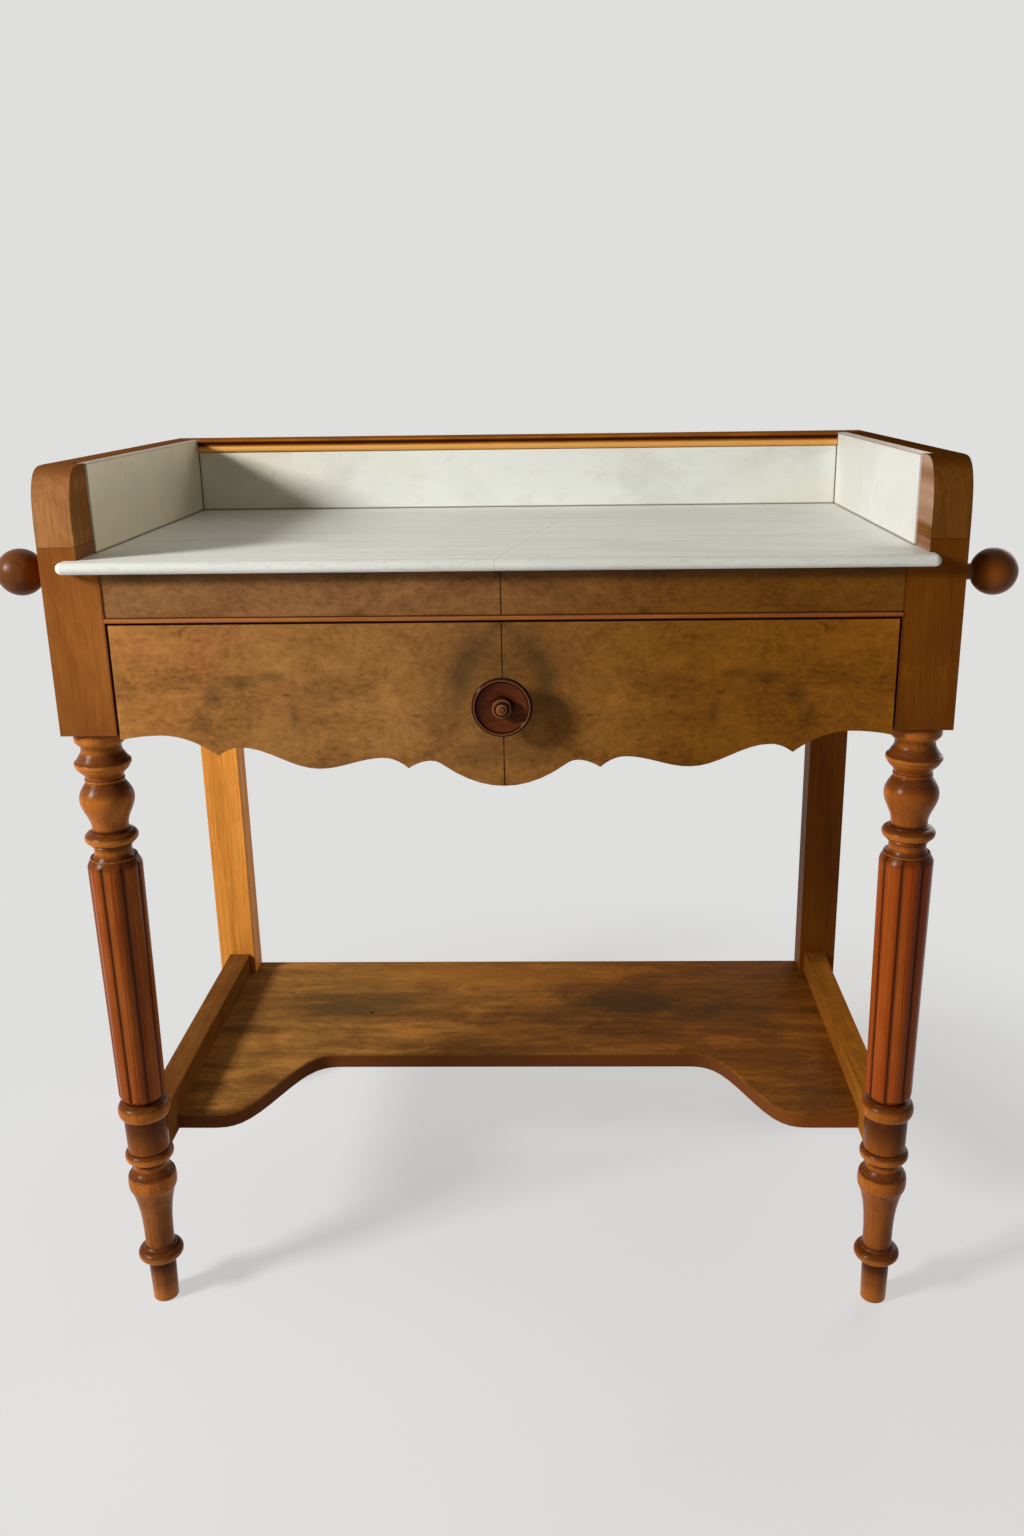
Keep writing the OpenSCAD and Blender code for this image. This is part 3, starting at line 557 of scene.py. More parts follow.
# Edges of a turning that bend more than this stay sharp
SHARP_TURNING, SHARP_KNOB = math.radians(50), math.radians(55)
SEAM_WIDTH = 1e-6  # points of a turning closer than this are one
CURVES = {
    "line": lambda t: t,
    "flare": lambda t: 1 - math.cos(math.pi / 2 * t),
    "swell": lambda t: math.sin(math.pi / 2 * t),
    "sweep": lambda t: (1 - math.cos(math.pi * t)) / 2,
    "trumpet": lambda t: t**3,
}


def member(shape, z, height, first, last, steps=0):
    """One member of a turning as (radius, height) points, from its first radius up to its last.

    A bead swells out from its first radius to its last and comes back again."""
    count = steps or {"line": 1, "bead": 14, "trumpet": 24}.get(shape, 9)
    if shape == "bead":
        angles = [math.pi * (i / count - 0.5) for i in range(count + 1)]
        return [
            (first + (last - first) * math.cos(a), z + height * (1 + math.sin(a)) / 2)
            for a in angles
        ]
    curve = CURVES[shape]
    return [
        (first + (last - first) * curve(i / count), z + height * i / count)
        for i in range(count + 1)
    ]


def outline(members, scale=1.0):
    """The points of several members in a row, scaled, without doubles."""
    points = []
    for given in members:
        for r, z in member(*given):
            r, z = r * scale, z * scale
            if not points or math.dist(points[-1], (r, z)) > CLOSEST_POINTS:
                points.append((r, z))
    return points


def spun(profile, steps):
    """A bmesh turned about the Z axis from (radius, height) points."""
    work = bmesh.new()
    verts = [work.verts.new((r, 0.0, z)) for r, z in profile]
    edges = [work.edges.new(pair) for pair in zip(verts, verts[1:])]
    bmesh.ops.spin(
        work,
        geom=verts + edges,
        cent=(0, 0, 0),
        axis=(0, 0, 1),
        dvec=(0, 0, 0),
        angle=2 * math.pi,
        steps=steps,
        use_merge=True,
        use_duplicate=False,
    )
    bmesh.ops.remove_doubles(work, verts=work.verts, dist=SEAM_WIDTH)
    bmesh.ops.recalc_face_normals(work, faces=work.faces)
    return work


def mark_hollows(work, profile, reach, depth):
    """Stores on each point how far it lies in a hollow of the turning (1) or stands proud (-1).

    Its neighbours within reach, up and down, are compared with it, and depth counts as full."""
    layer = work.verts.layers.float.new("hollow")

    def radius_at(height):
        for (r1, z1), (r2, z2) in zip(profile, profile[1:]):
            if min(z1, z2) <= height <= max(z1, z2) and z1 != z2:
                return r1 + (r2 - r1) * (height - z1) / (z2 - z1)
        return profile[0][0] if height < profile[0][1] else profile[-1][0]

    seen = {}
    for vert in work.verts:
        key = (round(vert.co.z, 5), round(math.hypot(vert.co.x, vert.co.y), 4))
        if key not in seen:
            near = [radius_at(key[0] + reach * k / 3) for k in (-3, -2, -1, 1, 2, 3)]
            seen[key] = max(-1.0, min(1.0, (sum(near) / len(near) - key[1]) / depth))
        vert[layer] = seen[key]
    return layer


def mark_ledges(work):
    """Stores on each point how far it faces up, where dust and dark wax have settled."""
    layer = work.verts.layers.float.new("ledge")
    work.normal_update()
    for vert in work.verts:
        vert[layer] = max(0.0, vert.normal.z)


# A front leg from the floor to its block, in millimetres: shape, height of its foot, its own
# height, first radius, last radius
LOWER_LEG = (
    ("line", 0, 0, 0, 11.7),
    ("swell", 0, 1.5, 11.7, 13.2, 4),
    ("line", 1.5, 49.5, 13.2, 14.2),
    ("bead", 51, 15, 14.2, 23.5),
    ("flare", 66, 3, 17.4, 15.0, 5),
    ("trumpet", 69, 70, 15.0, 22.9),
    ("bead", 139, 18.1, 22.9, 24.9),
    ("line", 157.5, 2.5, 21.8, 21.2),
    ("swell", 160, 6.4, 20.6, 17.2),
    ("line", 166.4, 6.1, 17.2, 17.2),
    ("line", 172.5, 1.5, 17.2, 19.6),
    ("bead", 174, 12.2, 19.6, 24.8),
    ("line", 187, 38, 21.0, 21.6),
    ("bead", 225, 18, 20.6, 26.4),
    ("line", 243.2, 1.2, 20.4, 20.2),
    ("line", 244.4, 1.2, 20.2, 17.8),
    ("line", 245.6, 1.4, 17.8, 17.8),
)
COLUMN_FOOT, COLUMN_HEAD = 247, 512
COLUMN_LOW, COLUMN_HIGH = 23.8, 26.4
COLUMN = (
    ("swell", COLUMN_FOOT, 8, 19.5, COLUMN_LOW, 14),
    ("line", 255, 246, COLUMN_LOW, COLUMN_HIGH, 24),
    ("flare", 501, 11, COLUMN_HIGH, 22.4, 16),
)
UPPER_LEG = (
    ("bead", 512, 2, 21.6, 22.4, 6),
    ("swell", 513, 7, 20.4, 17.7),
    ("line", 520, 5.4, 17.7, 17.7),
    ("line", 525.4, 0.6, 17.7, 19.7),
    ("line", 526, 2, 19.7, 18.7),
    ("bead", 528, 11.5, 18.7, 25.2),
    ("flare", 539.5, 2, 19.3, 17.2, 5),
    ("line", 541.5, 3.2, 17.2, 17.2),
    ("sweep", 544.7, 28.4, 17.2, 25.6, 18),
    ("flare", 573.1, 17.1, 25.6, 17.8, 14),
    ("bead", 590.7, 3.2, 17.8, 18.7, 6),
    ("sweep", 595, 10.9, 17.8, 25.0),
    ("bead", 605.9, 5.2, 25.0, 26.4, 8),
    ("line", 611.9, 8.1, 24.2, 19.2, 4),
    ("sweep", 624, 8.4, 18.6, 24.0),
    ("line", 632.4, 9.1, 24.0, 24.0),
    ("line", 641.5, 0, 24.0, 0),
)
Z_BLOCK = 0.6412  # foot of the square block, just inside the turning's top
STEPS_A_REED = 36  # round the leg
LEG_HOLLOWS = {"reach": 0.005, "depth": 0.0035}
COLUMN_CORE = 0.0192  # what lies inside this radius isn't reeded
REED_BREADTH = 0.4  # the lower, the broader the reeds and the narrower the grooves
CREASE_BREADTH = 0.035  # half of it, as a share of a reed
# The column's redder and darker colour, times the leg's wood; the darkening is partly painted shade,
# most on the left
COLUMN_RED = {"left": (0.53, 0.27, 0.12), "right": (0.75, 0.36, 0.12)}


def reed_column(work, layer, sizes, turn):
    """Cuts the reeds: each is a broad, faintly ridged arc between two narrow grooves."""
    low, high = COLUMN_FOOT * MM, COLUMN_HEAD * MM
    for vert in work.verts:
        r = math.hypot(vert.co.x, vert.co.y)
        t = (vert.co.z - low) / (high - low)
        if not -1e-4 < t < 1.0001 or r < COLUMN_CORE:
            continue
        full = (COLUMN_LOW + (COLUMN_HIGH - COLUMN_LOW) * t) * MM - 0.0002
        u = (math.atan2(vert.co.y, vert.co.x) / (2 * math.pi) * sizes.reeds + turn + 0.5) % 1.0
        arc = math.sin(math.pi * u) ** REED_BREADTH
        ridge = 1 - abs(2 * u - 1)
        crease = max(0.0, 1 - abs(u - 0.5) / CREASE_BREADTH)
        new = full - sizes.reed_depth * (1 - 0.8 * arc - 0.2 * ridge) - sizes.crease * crease
        if new < r:
            vert.co.x *= new / r
            vert.co.y *= new / r
        # Dirt and painted shade in the grooves and along the creases, kept with the hollows.
        dirt_and_shade = max((1 - arc) ** 1.25 * 1.4, 0.42 * crease)
        vert[layer] = max(vert[layer], min(1.0, dirt_and_shade))


def turned_wood(name, colour, sign, column_red):
    """Waxed turned wood: dark in the quirks, as dark wax and painted shade, and on the ledges;
    redder and darker on the column, partly as painted shade, and streaked.
    """
    wood = Wood(
        name,
        colour,
        heart=(sign * 0.383 + 0.02, -0.23),
        roughness=0.26,
        shine=0.08,
        start=(0, 0, 0.3 * sign),
        contrast=0.9,
        clouds=0.9,
    )
    x, y, z = wood.apart(wood.place)
    streak = wood.noise(wood.stretch(wood.place, (260, 260, 4)), 3, 0.6)
    foot, head = COLUMN_FOOT * MM, COLUMN_HEAD * MM
    column = wood.span(z, foot - 0.004, foot + 0.003)
    column = wood.times(column, wood.span(z, head + 0.002, head - 0.003))
    wood.lay(wood.times(column, wood.span(streak, 0.30, 0.72, 0.4, 1.0)), column_red)
    ankle = wood.span(z, 0.150, 0.125, 0.0, 0.80 - 0.12 * sign)
    wood.lay_tone(ankle, (0.60, 0.60, 0.88))
    # Proud parts lightened, as wear.
    lightened = wood.span(wood.attribute("hollow"), 0.0, -0.8, 0.0, 0.45)
    wood.lay(lightened, (1.5, 1.6, 1.7))
    out = wood.times(wood.distance(wood.point(x, y, 0.0)), 0.4)
    lathe = wood.bands(wood.sum("ADD", z, out), 1500, 2)
    ledge = wood.span(wood.attribute("ledge"), 0.08, 0.60, 0.0, 0.94)
    wood.lay(wood.times(ledge, wood.span(lathe, 0.30, 0.60, 0.6, 1.0)), (0.22, 0.17, 0.20))
    # Dark wax and painted shade in the hollows.
    wood.lay(wood.span(wood.attribute("hollow"), 0.05, 0.75, 0.0, 0.92), (0.14, 0.09, 0.08))
    return wood.done()


def turned_leg(side, sign, woods, sizes, axis):
    """The turned and reeded part of a front leg, from the floor to its block."""
    profile = outline(LOWER_LEG + COLUMN + UPPER_LEG, MM)
    turning = spun(profile, sizes.reeds * STEPS_A_REED)
    layer = mark_hollows(turning, profile, **LEG_HOLLOWS)
    mark_ledges(turning)
    reed_column(turning, layer, sizes, getattr(sizes, "reed_turn_" + side))
    bmesh.ops.translate(turning, vec=axis, verts=turning.verts)
    colour = getattr(woods, "turning_" + side)
    wood = turned_wood("turned wood " + side, colour, sign, COLUMN_RED[side])
    leg = finished(turning, "turned_leg_" + side, wood)
    leg.data.set_sharp_from_angle(angle=SHARP_TURNING)
    return leg


def post_block(node, side, sign, woods, sizes):
    """The square block of a front leg, cut off its CAD solid above the turning."""
    block = merged(node)
    bmesh.ops.bisect_plane(
        block,
        geom=block.verts[:] + block.edges[:] + block.faces[:],
        plane_co=(0, 0, Z_BLOCK),
        plane_no=(0, 0, -1),
        clear_outer=True,
    )
    open_edges = [edge for edge in block.edges if edge.is_boundary]
    bmesh.ops.holes_fill(block, edges=open_edges, sides=0)
    bmesh.ops.recalc_face_normals(block, faces=block.faces)
    honey = getattr(woods, "post_" + side)
    post = finished(block, "post_block_" + side, post_wood(side, honey, sign))
    ease_edges(post, sizes.ease)
    return post


class TurnLegs(bpy.types.Operator):
    """Turns and reeds the front legs and joins each to its square block."""

    bl_idname = "washstand.turn_legs"
    bl_label = "Front legs"

    def execute(self, context):
        woods, sizes = context.scene.washstand_woods, context.scene.washstand_work
        for side, sign in SIDES.items():
            node = "front_leg_" + side
            low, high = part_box(node)
            axis = Vector(((low.x + high.x) / 2, (low.y + high.y) / 2, 0))
            leg = turned_leg(side, sign, woods, sizes, axis)
            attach(leg, CARCASS)
            post = post_block(node, side, sign, woods, sizes)
            take_over(post, [node], CARCASS)
        return {"FINISHED"}


# Where a change of colour on the posts and the gallery starts and where it is full, in metres:
# as heights, and the two marked so as distances from the middle of the washstand
POST_FOOT_DARK = (0.715, 0.655)
POST_HEAD_DARK = (0.775, 0.815)
POST_INNER_SHADE = (0.3595, 0.357)  # from the middle
GALLERY_JOINT_GRIME = (0.8155, 0.8140)
GALLERY_TOP_DARK = (0.868, 0.882)
PAINTED_FACE_HEIGHT = (0.7995, 0.8010)
PAINTED_FACE_EDGE = (0.3787, 0.3775)  # from the middle


def post_wood(side, honey, sign):
    """The square post: upright grain, darker towards its foot and its head, with painted shade on
    its inner side by the drawer.
    """
    wood = Wood(
        "post wood " + side,
        honey,
        heart=(sign * 0.36, -0.30),
        start=(0.1, 0.2, 0.4 * sign),
        contrast=1.15,
        clouds=0.6,
    )
    x, _, z = wood.apart(wood.place)
    smudge = wood.noise(wood.stretch(wood.place, (30, 30, 12)), 4, 0.6)
    height = wood.sum("MULTIPLY_ADD", smudge, 0.05, z)
    wood.lay(wood.span(height, *POST_FOOT_DARK, 0.0, 0.55), (0.52, 0.42, 0.36))
    height = wood.sum("MULTIPLY_ADD", smudge, 0.03, z)
    wood.lay(wood.span(height, *POST_HEAD_DARK, 0.0, 0.4), (0.62, 0.52, 0.42))
    # Painted shade: the post's inner side, in the gap by the drawer, darkened.
    inner = wood.span(wood.times(x, sign), *POST_INNER_SHADE, 0.0, 0.7)
    wood.lay(inner, (0.35, 0.25, 0.20))
    painted_inner_face(wood, side, x, z)
    return wood.done()


def gallery_wood(side, honey, sign):
    """A gallery end: upright grain on its front, grimy at its foot and darker along its top."""
    wood = Wood(
        "gallery wood " + side,
        honey,
        heart=(sign * 0.36, -0.28),
        shine=0.0,
        start=(0.05, 0, sign),
        contrast=1.05,
        clouds=0.65,
    )
    x, _, z = wood.apart(wood.place)
    wood.lay(wood.span(z, *GALLERY_JOINT_GRIME, 0.0, 0.8), (0.30, 0.20, 0.16))
    wood.lay(wood.span(z, *GALLERY_TOP_DARK, 0.0, 0.85), (0.50, 0.38, 0.28))
    painted_inner_face(wood, side, x, z)
    return wood.done()


def painted_inner_face(wood, side, x, z):
    """The inner face of a gallery's front end and of the post's head below it: painted light on the
    right, which makes it pale and pinkish, and painted shade on the left, which makes it dark."""
    bend = wood.noise(wood.stretch(wood.place, (0, 0, 34), (0, 0, 3.7)), 2)
    edge = wood.sum("MULTIPLY_ADD", bend, 0.004, wood.off(x, 0.0))
    facing_in = wood.times(wood.span(edge, *PAINTED_FACE_EDGE), wood.span(z, *PAINTED_FACE_HEIGHT))
    # Painted light on the right's lit face, painted shade on the left's shaded face.
    if side == "right":
        wood.base = wood.blend(wood.times(facing_in, 0.9), wood.base, (0.42, 0.27, 0.185))
    else:
        wood.lay(wood.times(facing_in, 0.8), (0.5, 0.44, 0.36))


def side_woods(side, sign, woods):
    """The woods of one side, by the CAD node that each finishes."""
    apron = Wood(
        "apron wood " + side,
        woods.side,
        "Y",
        heart=(0.70, sign * 0.30),
        contrast=0.7,
        start=(0.3, 0, sign),
        clouds=0.45,
    )
    rear = Wood(
        "rear leg wood " + side,
        getattr(woods, "rear_" + side),
        "Z",
        heart=(sign * 0.36, 0.10),
        figure=0.8,
        contrast=0.95,
        start=(0, 0, 0.7 * sign),
        clouds=0.3,
    )
    rail = Wood(
        "stretcher wood " + side,
        getattr(woods, "stretcher_" + side),
        "Y",
        heart=(0.25, sign * 0.34),
        contrast=1.1,
        start=(0, 0, 0.5 * sign),
        clouds=0.8,
        shine=0.0,
    )
    return {
        "side_apron_" + side: apron.done(),
        "rear_leg_" + side: rear.done(),
        "stretcher_" + side: rail.done(),
    }


def cap_wood(colour, top):
    """The moulded cap: a dark painted shadow under its upper edge, and a lower member made paler as
    painted light.
    """
    cap = Wood(
        "cap wood", colour, "X", heart=(0.1, 0.9), contrast=1.2, clouds=0.9, shine=0.0
    )
    _, _, z = cap.apart(cap.place)
    # Painted light: the lower member lightened against the shade of its recess.
    cap.lay(cap.span(z, top - 0.0066, top - 0.0084, 0.0, 0.9), (2.0, 2.8, 5.0))
    # Painted shade: a dark line where the moulding's recess is shaded.
    groove_shade = cap.span(cap.off(z, top - 0.0040), 0.0028, 0.0016, 0.0, 0.92)
    cap.lay(groove_shade, (0.12, 0.07, 0.10))
    return cap.done()


def bead_wood(colour, middle):
    """The thin strip under the frieze: painted shade of the gaps along both edges, and redder and
    darker towards the right, partly as painted shade.
    """
    bead = Wood("bead wood", colour, "X", heart=(-0.2, 0.7), roughness=0.4)
    x, _, z = bead.apart(bead.place)
    # Painted shade of the gaps above and below the strip.
    edge = bead.span(bead.off(z, middle), 0.0013, 0.0021, 0.0, 0.92)
    bead.lay(edge, (0.16, 0.07, 0.06))
    # Redder and darker towards the right, partly painted shade.
    bead.lay_tone(bead.span(x, -0.2, 0.3, 0.0, 0.8), (0.62, 0.44, 0.26))
    return bead.done()


class FinishCase(bpy.types.Operator):
    """Finishes the gallery, side aprons, rear legs, stretchers, frieze rail and bead."""

    bl_idname = "washstand.finish_case"
    bl_label = "Case and gallery"

    def execute(self, context):
        woods, sizes = context.scene.washstand_woods, context.scene.washstand_work
        for side, sign in SIDES.items():
            gallery = gallery_wood(side, getattr(woods, "gallery_" + side), sign)
            worked("gallery_side_" + side, gallery, sizes.soft_ease, 3)
            for node, wood in side_woods(side, sign, woods).items():
                worked(node, wood, sizes.ease)
        cap_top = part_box("gallery_cap")[1].z
        worked("gallery_cap", cap_wood(woods.cap, cap_top), sizes.fine_ease)
        frieze = Wood("frieze core", woods.side, "X", heart=(-0.2, 0.9))
        worked("frieze_rail", frieze.done(), sizes.fine_ease)
        low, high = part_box("frieze_bead")
        bead = bead_wood(woods.bead, (low.z + high.z) / 2)
        worked("frieze_bead", bead, sizes.fine_ease)
        return {"FINISHED"}


# Plain nodes whose grain runs across the washstand, and those, one a side, whose grain runs back
LYING = ("back_apron", "gallery_panel", "slab_ledger_back", "drawer_back", "drawer_bottom")
DEEP = ("drawer_side_", "drawer_runner_", "drawer_guide_", "drawer_kicker_", "slab_ledger_")


class FinishInside(bpy.types.Operator):
    """Finishes the plain woods of the back, the inside and the drawer."""

    bl_idname = "washstand.finish_inside"
    bl_label = "Inside and back"

    def execute(self, context):
        woods, sizes = context.scene.washstand_woods, context.scene.washstand_work
        pale = woods.inside
        plain = {"figure": 0.5, "roughness": 0.7, "shine": 0.1, "contrast": 0.9, "pores": 0.5}
        lying = Wood("plain wood across", pale, "X", (0.30, 0.62), **plain, clouds=0.35).done()
        deep = Wood("plain wood in depth", pale, "Y", (0.62, 0.1), **plain, clouds=0.35).done()
        for node in LYING:
            worked(node, lying, sizes.fine_ease)
        for side in SIDES:
            for stem in DEEP:
                worked(stem + side, deep, sizes.fine_ease)
            worked("rod_guide_" + side, lying, sizes.fine_ease)
            finish_only("towel_pin_" + side, deep)
        finish_only("drawer_stops", lying)
        finish_only("gallery_dowels", lying)
        core = Wood("drawer core", woods.side, "X", heart=(-0.25, 0.5), roughness=0.6)
        worked("drawer_front", core.done(), sizes.fine_ease)
        return {"FINISHED"}


# ---------------------------------------------------------------- veneers

# Small dark knots that both leaves share: distance from the seam, height, reach across and up
KNOTS = (
    (0.3466, 0.6913, 0.0060, 0.0028),
    (0.2597, 0.6670, 0.0045, 0.0030),
    (0.0298, 0.6185, 0.0022, 0.0034),
    (0.2903, 0.7382, 0.0022, 0.0060),
    (0.0820, 0.6578, 0.0065, 0.0016),
    (0.1990, 0.6790, 0.0055, 0.0020),
    (0.1310, 0.6330, 0.0040, 0.0018),
)
# Dark smudges round the knob and out on the leaves: distance from the seam, height above the
# knob, reach across and up, strength
SMUDGES = (
    (0.003, 0.072, 0.015, 0.013, 0.55),
    (0.018, 0.056, 0.024, 0.018, 0.50),
    (0.031, 0.042, 0.022, 0.020, 0.66),
    (0.039, 0.022, 0.018, 0.024, 0.62),
    (0.043, 0.000, 0.016, 0.022, 0.30),
    (0.078, -0.017, 0.036, 0.020, 0.14),
    (0.022, -0.052, 0.034, 0.020, 0.30),
    (0.212, 0.026, 0.022, 0.009, 0.45),
    (0.240, 0.021, 0.024, 0.011, 0.50),
    (0.266, 0.006, 0.016, 0.018, 0.55),
    (0.276, -0.016, 0.011, 0.022, 0.45),
    (0.192, -0.012, 0.007, 0.028, 0.40),
    (0.160, 0.010, 0.050, 0.020, 0.20),
)


def matched_veneer(name, veneers, knob=None):
    """Two leaves of figured veneer, matched about the middle seam."""
    f = Finish(name, 0.5, 0.06)
    x, y, z = f.apart(f.place)
    half = f.sum("ABSOLUTE", x)
    leaf = f.point(half, y, z)
    bent = f.wander(leaf, (7, 7, 11), 0.05)
    mottle = f.noise(f.stretch(bent, (11, 11, 17)), 6, 0.66, 0.7)
    speck = f.noise(f.stretch(bent, (130, 130, 190)), 4, 0.66, 0.3)
    thread = f.noise(f.stretch(f.place, (34, 34, 1100)), 2, 0.5)
    mix = f.sum("MULTIPLY_ADD", mottle, 0.50, f.times(speck, 0.40))
    mix = f.sum("MULTIPLY_ADD", thread, 0.10, mix)
    base = f.ramp(
        f.span(mix, 0.35, 0.65, soft=False),
        (0.0, veneers.dark),
        (0.45, veneers.middle),
        (1.0, veneers.light),
    )
    rosy = f.noise(f.stretch(leaf, (10, 10, 14), (3.1, 0, 0.4)), 4, 0.6)
    rosy = f.times(f.span(rosy, 0.45, 0.66, 0.0, 0.6), f.span(x, 0.05, -0.30, 0.25, 1.0))
    base = f.blend(rosy, base, f.blend(1.0, base, (0.98, 0.86, 1.05), "MULTIPLY"))
    ragged = f.noise(f.stretch(bent, (42, 42, 42)), 5, 0.65, 0.4)
    for across, height, wide, tall in KNOTS:
        knot = f.patch(bent, (across, 0, height), (wide, 0, tall), 0.7, ragged, 2.0)
        base = f.blend(f.times(knot, 0.45), base, darker(veneers.dark, 0.4))
    if knob is not None:
        for across, above, wide, tall, strength in SMUDGES:
            smudge = f.patch(leaf, (across, 0, knob + above), (wide, 0, tall), 1.0, ragged, 0.7)
            base = f.blend(f.times(smudge, strength), base, veneers.smoke_and_shade)
        away = f.distance(f.point(x, 0.0, z), (-0.004, 0, knob + 0.014))
        base = f.blend(f.span(away, 0.105, 0.02, 0.0, 0.34), base, veneers.smoke_and_shade)
        paler = f.blend(1.0, base, (1.26, 1.19, 1.12), "MULTIPLY")
        base = f.blend(f.span(half, 0.20, 0.34, 0.0, 0.75), base, paler)
    # Darker towards the right, partly the veneer's own tone and partly painted shade.
    right = f.span(x, -0.12, 0.22)
    base = f.blend(right, base, f.blend(1.0, base, veneers.right, "MULTIPLY"))
    if knob is None:
        # The frieze's tone, partly painted shade under the nosing.
        base = f.blend(1.0, base, veneers.frieze, "MULTIPLY")
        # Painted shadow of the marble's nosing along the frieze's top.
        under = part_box("frieze_veneer_left")[1].z
        base = f.blend(f.span(z, under - 0.014, under, 0.0, 0.6), base, veneers.smoke_and_shade)
    rough = f.noise(f.stretch(f.place, (1, 1, 60)), 3)
    seam = f.span(half, f.times(rough, veneers.seam * 1.7), 0.0002)
    base = f.blend(f.times(seam, 0.9), base, (0.012, 0.006, 0.003))
    f.colour(base)
    f.roughness(f.sum("MULTIPLY_ADD", speck, 0.2, 0.42))
    f.relief(f.sum("ADD", speck, thread), 0.16, 0.0003)
    return f.material


class LayVeneers(bpy.types.Operator):
    """Lays the matched veneers on the frieze and the drawer front."""

    bl_idname = "washstand.lay_veneers"
    bl_label = "Veneers"

    def execute(self, context):
        veneers = context.scene.washstand_veneers
        sizes = context.scene.washstand_work
        low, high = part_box("drawer_knob")
        drawer = matched_veneer("drawer veneer", veneers, (low.z + high.z) / 2)
        frieze = matched_veneer("frieze veneer", veneers)
        for side in SIDES:
            worked("drawer_veneer_" + side, drawer, sizes.fine_ease)
            worked("frieze_veneer_" + side, frieze, sizes.fine_ease)
        return {"FINISHED"}


# ---------------------------------------------------------------- marble

# The ends of the hairline crack in the top, at the nosing and near the back
CRACK = ((-0.0040, -0.2338), (0.0515, 0.0548))


def slip_corner():
    """Where the upright slips meet: half the width between them, and the face of the back one."""
    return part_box("marble_splash_right")[0].x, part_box("marble_splash_back")[0].y


def streaked_marble(stone, nosing):
    """The marble of the top: faint streaks along its length, a hairline crack, a stained nosing."""
    f = Finish("top marble", 0.36, 0.25)
    x, y, _ = f.apart(f.place)
    streak = f.noise(f.stretch(f.place, (5, 120, 60)), 5, 0.66, 0.3)
    broad = f.noise(f.stretch(f.place, (3.0, 9.0, 9.0)), 4, 0.55, 0.8)
    base = f.blend(f.span(streak, 0.42, 0.66, 0.0, stone.streaks), stone.top, stone.cloud)
    base = f.blend(f.span(broad, 0.48, 0.72, 0.0, 0.38), base, stone.cloud)
    (x1, y1), (x2, y2) = CRACK
    slope = (x2 - x1) / (y2 - y1)
    bend = f.noise(f.stretch(f.place, (0.0, 30.0, 0.0)), 4, 0.6)
    line = f.sum("MULTIPLY_ADD", y, slope, x1 - slope * y1)
    line = f.sum("MULTIPLY_ADD", f.sum("SUBTRACT", bend, 0.5), 0.012, line)
    hair = f.span(f.off(x, line), stone.crack, stone.crack * 0.2)
    hair = f.times(hair, f.span(y, y2 + 0.02, y2 - 0.05), 0.6)
    base = f.blend(hair, base, stone.stain)
    half, back = slip_corner()
    slip_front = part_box("marble_splash_right")[0].y
    gap = f.sum("MINIMUM", f.off(f.sum("ABSOLUTE", x), half), f.off(y, back))
    dirt_and_shade = f.times(f.span(gap, 0.0022, 0.0004), f.span(y, slip_front - 0.001, slip_front))
    # Dirt in the joints, with painted shade: stronger towards the left, where the joints lie in
    # shade.
    base = f.blend(f.times(dirt_and_shade, f.span(x, -0.30, 0.10, 0.72, 0.38)), base, stone.joint)
    speck = f.noise(f.stretch(f.place, (90, 160, 420)), 5, 0.7)
    front = f.span(y, nosing + 0.009, nosing + 0.004)
    base = f.blend(f.times(front, f.span(speck, 0.50, 0.74, 0.0, 0.5)), base, stone.stain)
    base = f.blend(f.times(front, 0.35), base, stone.cloud)
    f.colour(base)
    f.roughness(f.span(broad, 0.3, 0.7, 0.32, 0.44, soft=False))
    f.relief(streak, 0.06, 0.0004)
    return f.material


def clouded_marble(name, stone, white):
    """An upright slip: warm white with soft green-grey clouds."""
    f = Finish(name, 0.42, 0.2)
    big = f.noise(f.stretch(f.place, (7, 7, 10)), 5, 0.6, 0.8)
    small = f.noise(f.stretch(f.place, (46, 46, 60)), 4, 0.6)
    warm = f.noise(f.stretch(f.place, (6, 6, 9), (1.3, 0.7, 0.2)), 3, 0.5)
    base = f.blend(f.span(big, 0.45, 0.72, 0.0, 0.6), white, stone.cloud)
    base = f.blend(f.span(small, 0.50, 0.75, 0.0, 0.3), base, stone.cloud)
    base = f.blend(f.span(warm, 0.52, 0.75, 0.0, 0.4), base, (0.74, 0.67, 0.50))
    x, y, z = f.apart(f.place)
    half, back = slip_corner()
    foot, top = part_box("marble_splash_right")[0].z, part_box("marble_splash_right")[1].z
    # Painted light: the warm light bounced into the shade at the left end of the slips.
    warm_bounce = f.blend(1.0, base, (1.0, 0.93, 0.82), "MULTIPLY")
    base = f.blend(f.span(x, -0.16, -0.32), base, warm_bounce)
    corner = f.sum("SUBTRACT", half, f.sum("ABSOLUTE", x))
    corner = f.sum("MAXIMUM", corner, f.sum("SUBTRACT", back, y))
    base = f.blend(f.span(corner, 0.0020, 0.0004, 0.0, 0.8), base, stone.joint)
    base = f.blend(f.span(z, foot + 0.0024, foot + 0.0006, 0.0, 0.85), base, stone.joint)
    # Dirt along the slip's top edge, and painted shade on its top face, which the lamps light.
    base = f.blend(f.span(z, top - 0.0012, top - 0.0004, 0.0, 0.8), base, (0.20, 0.115, 0.05))
    f.colour(base)
    f.relief(small, 0.05, 0.0004)
    return f.material


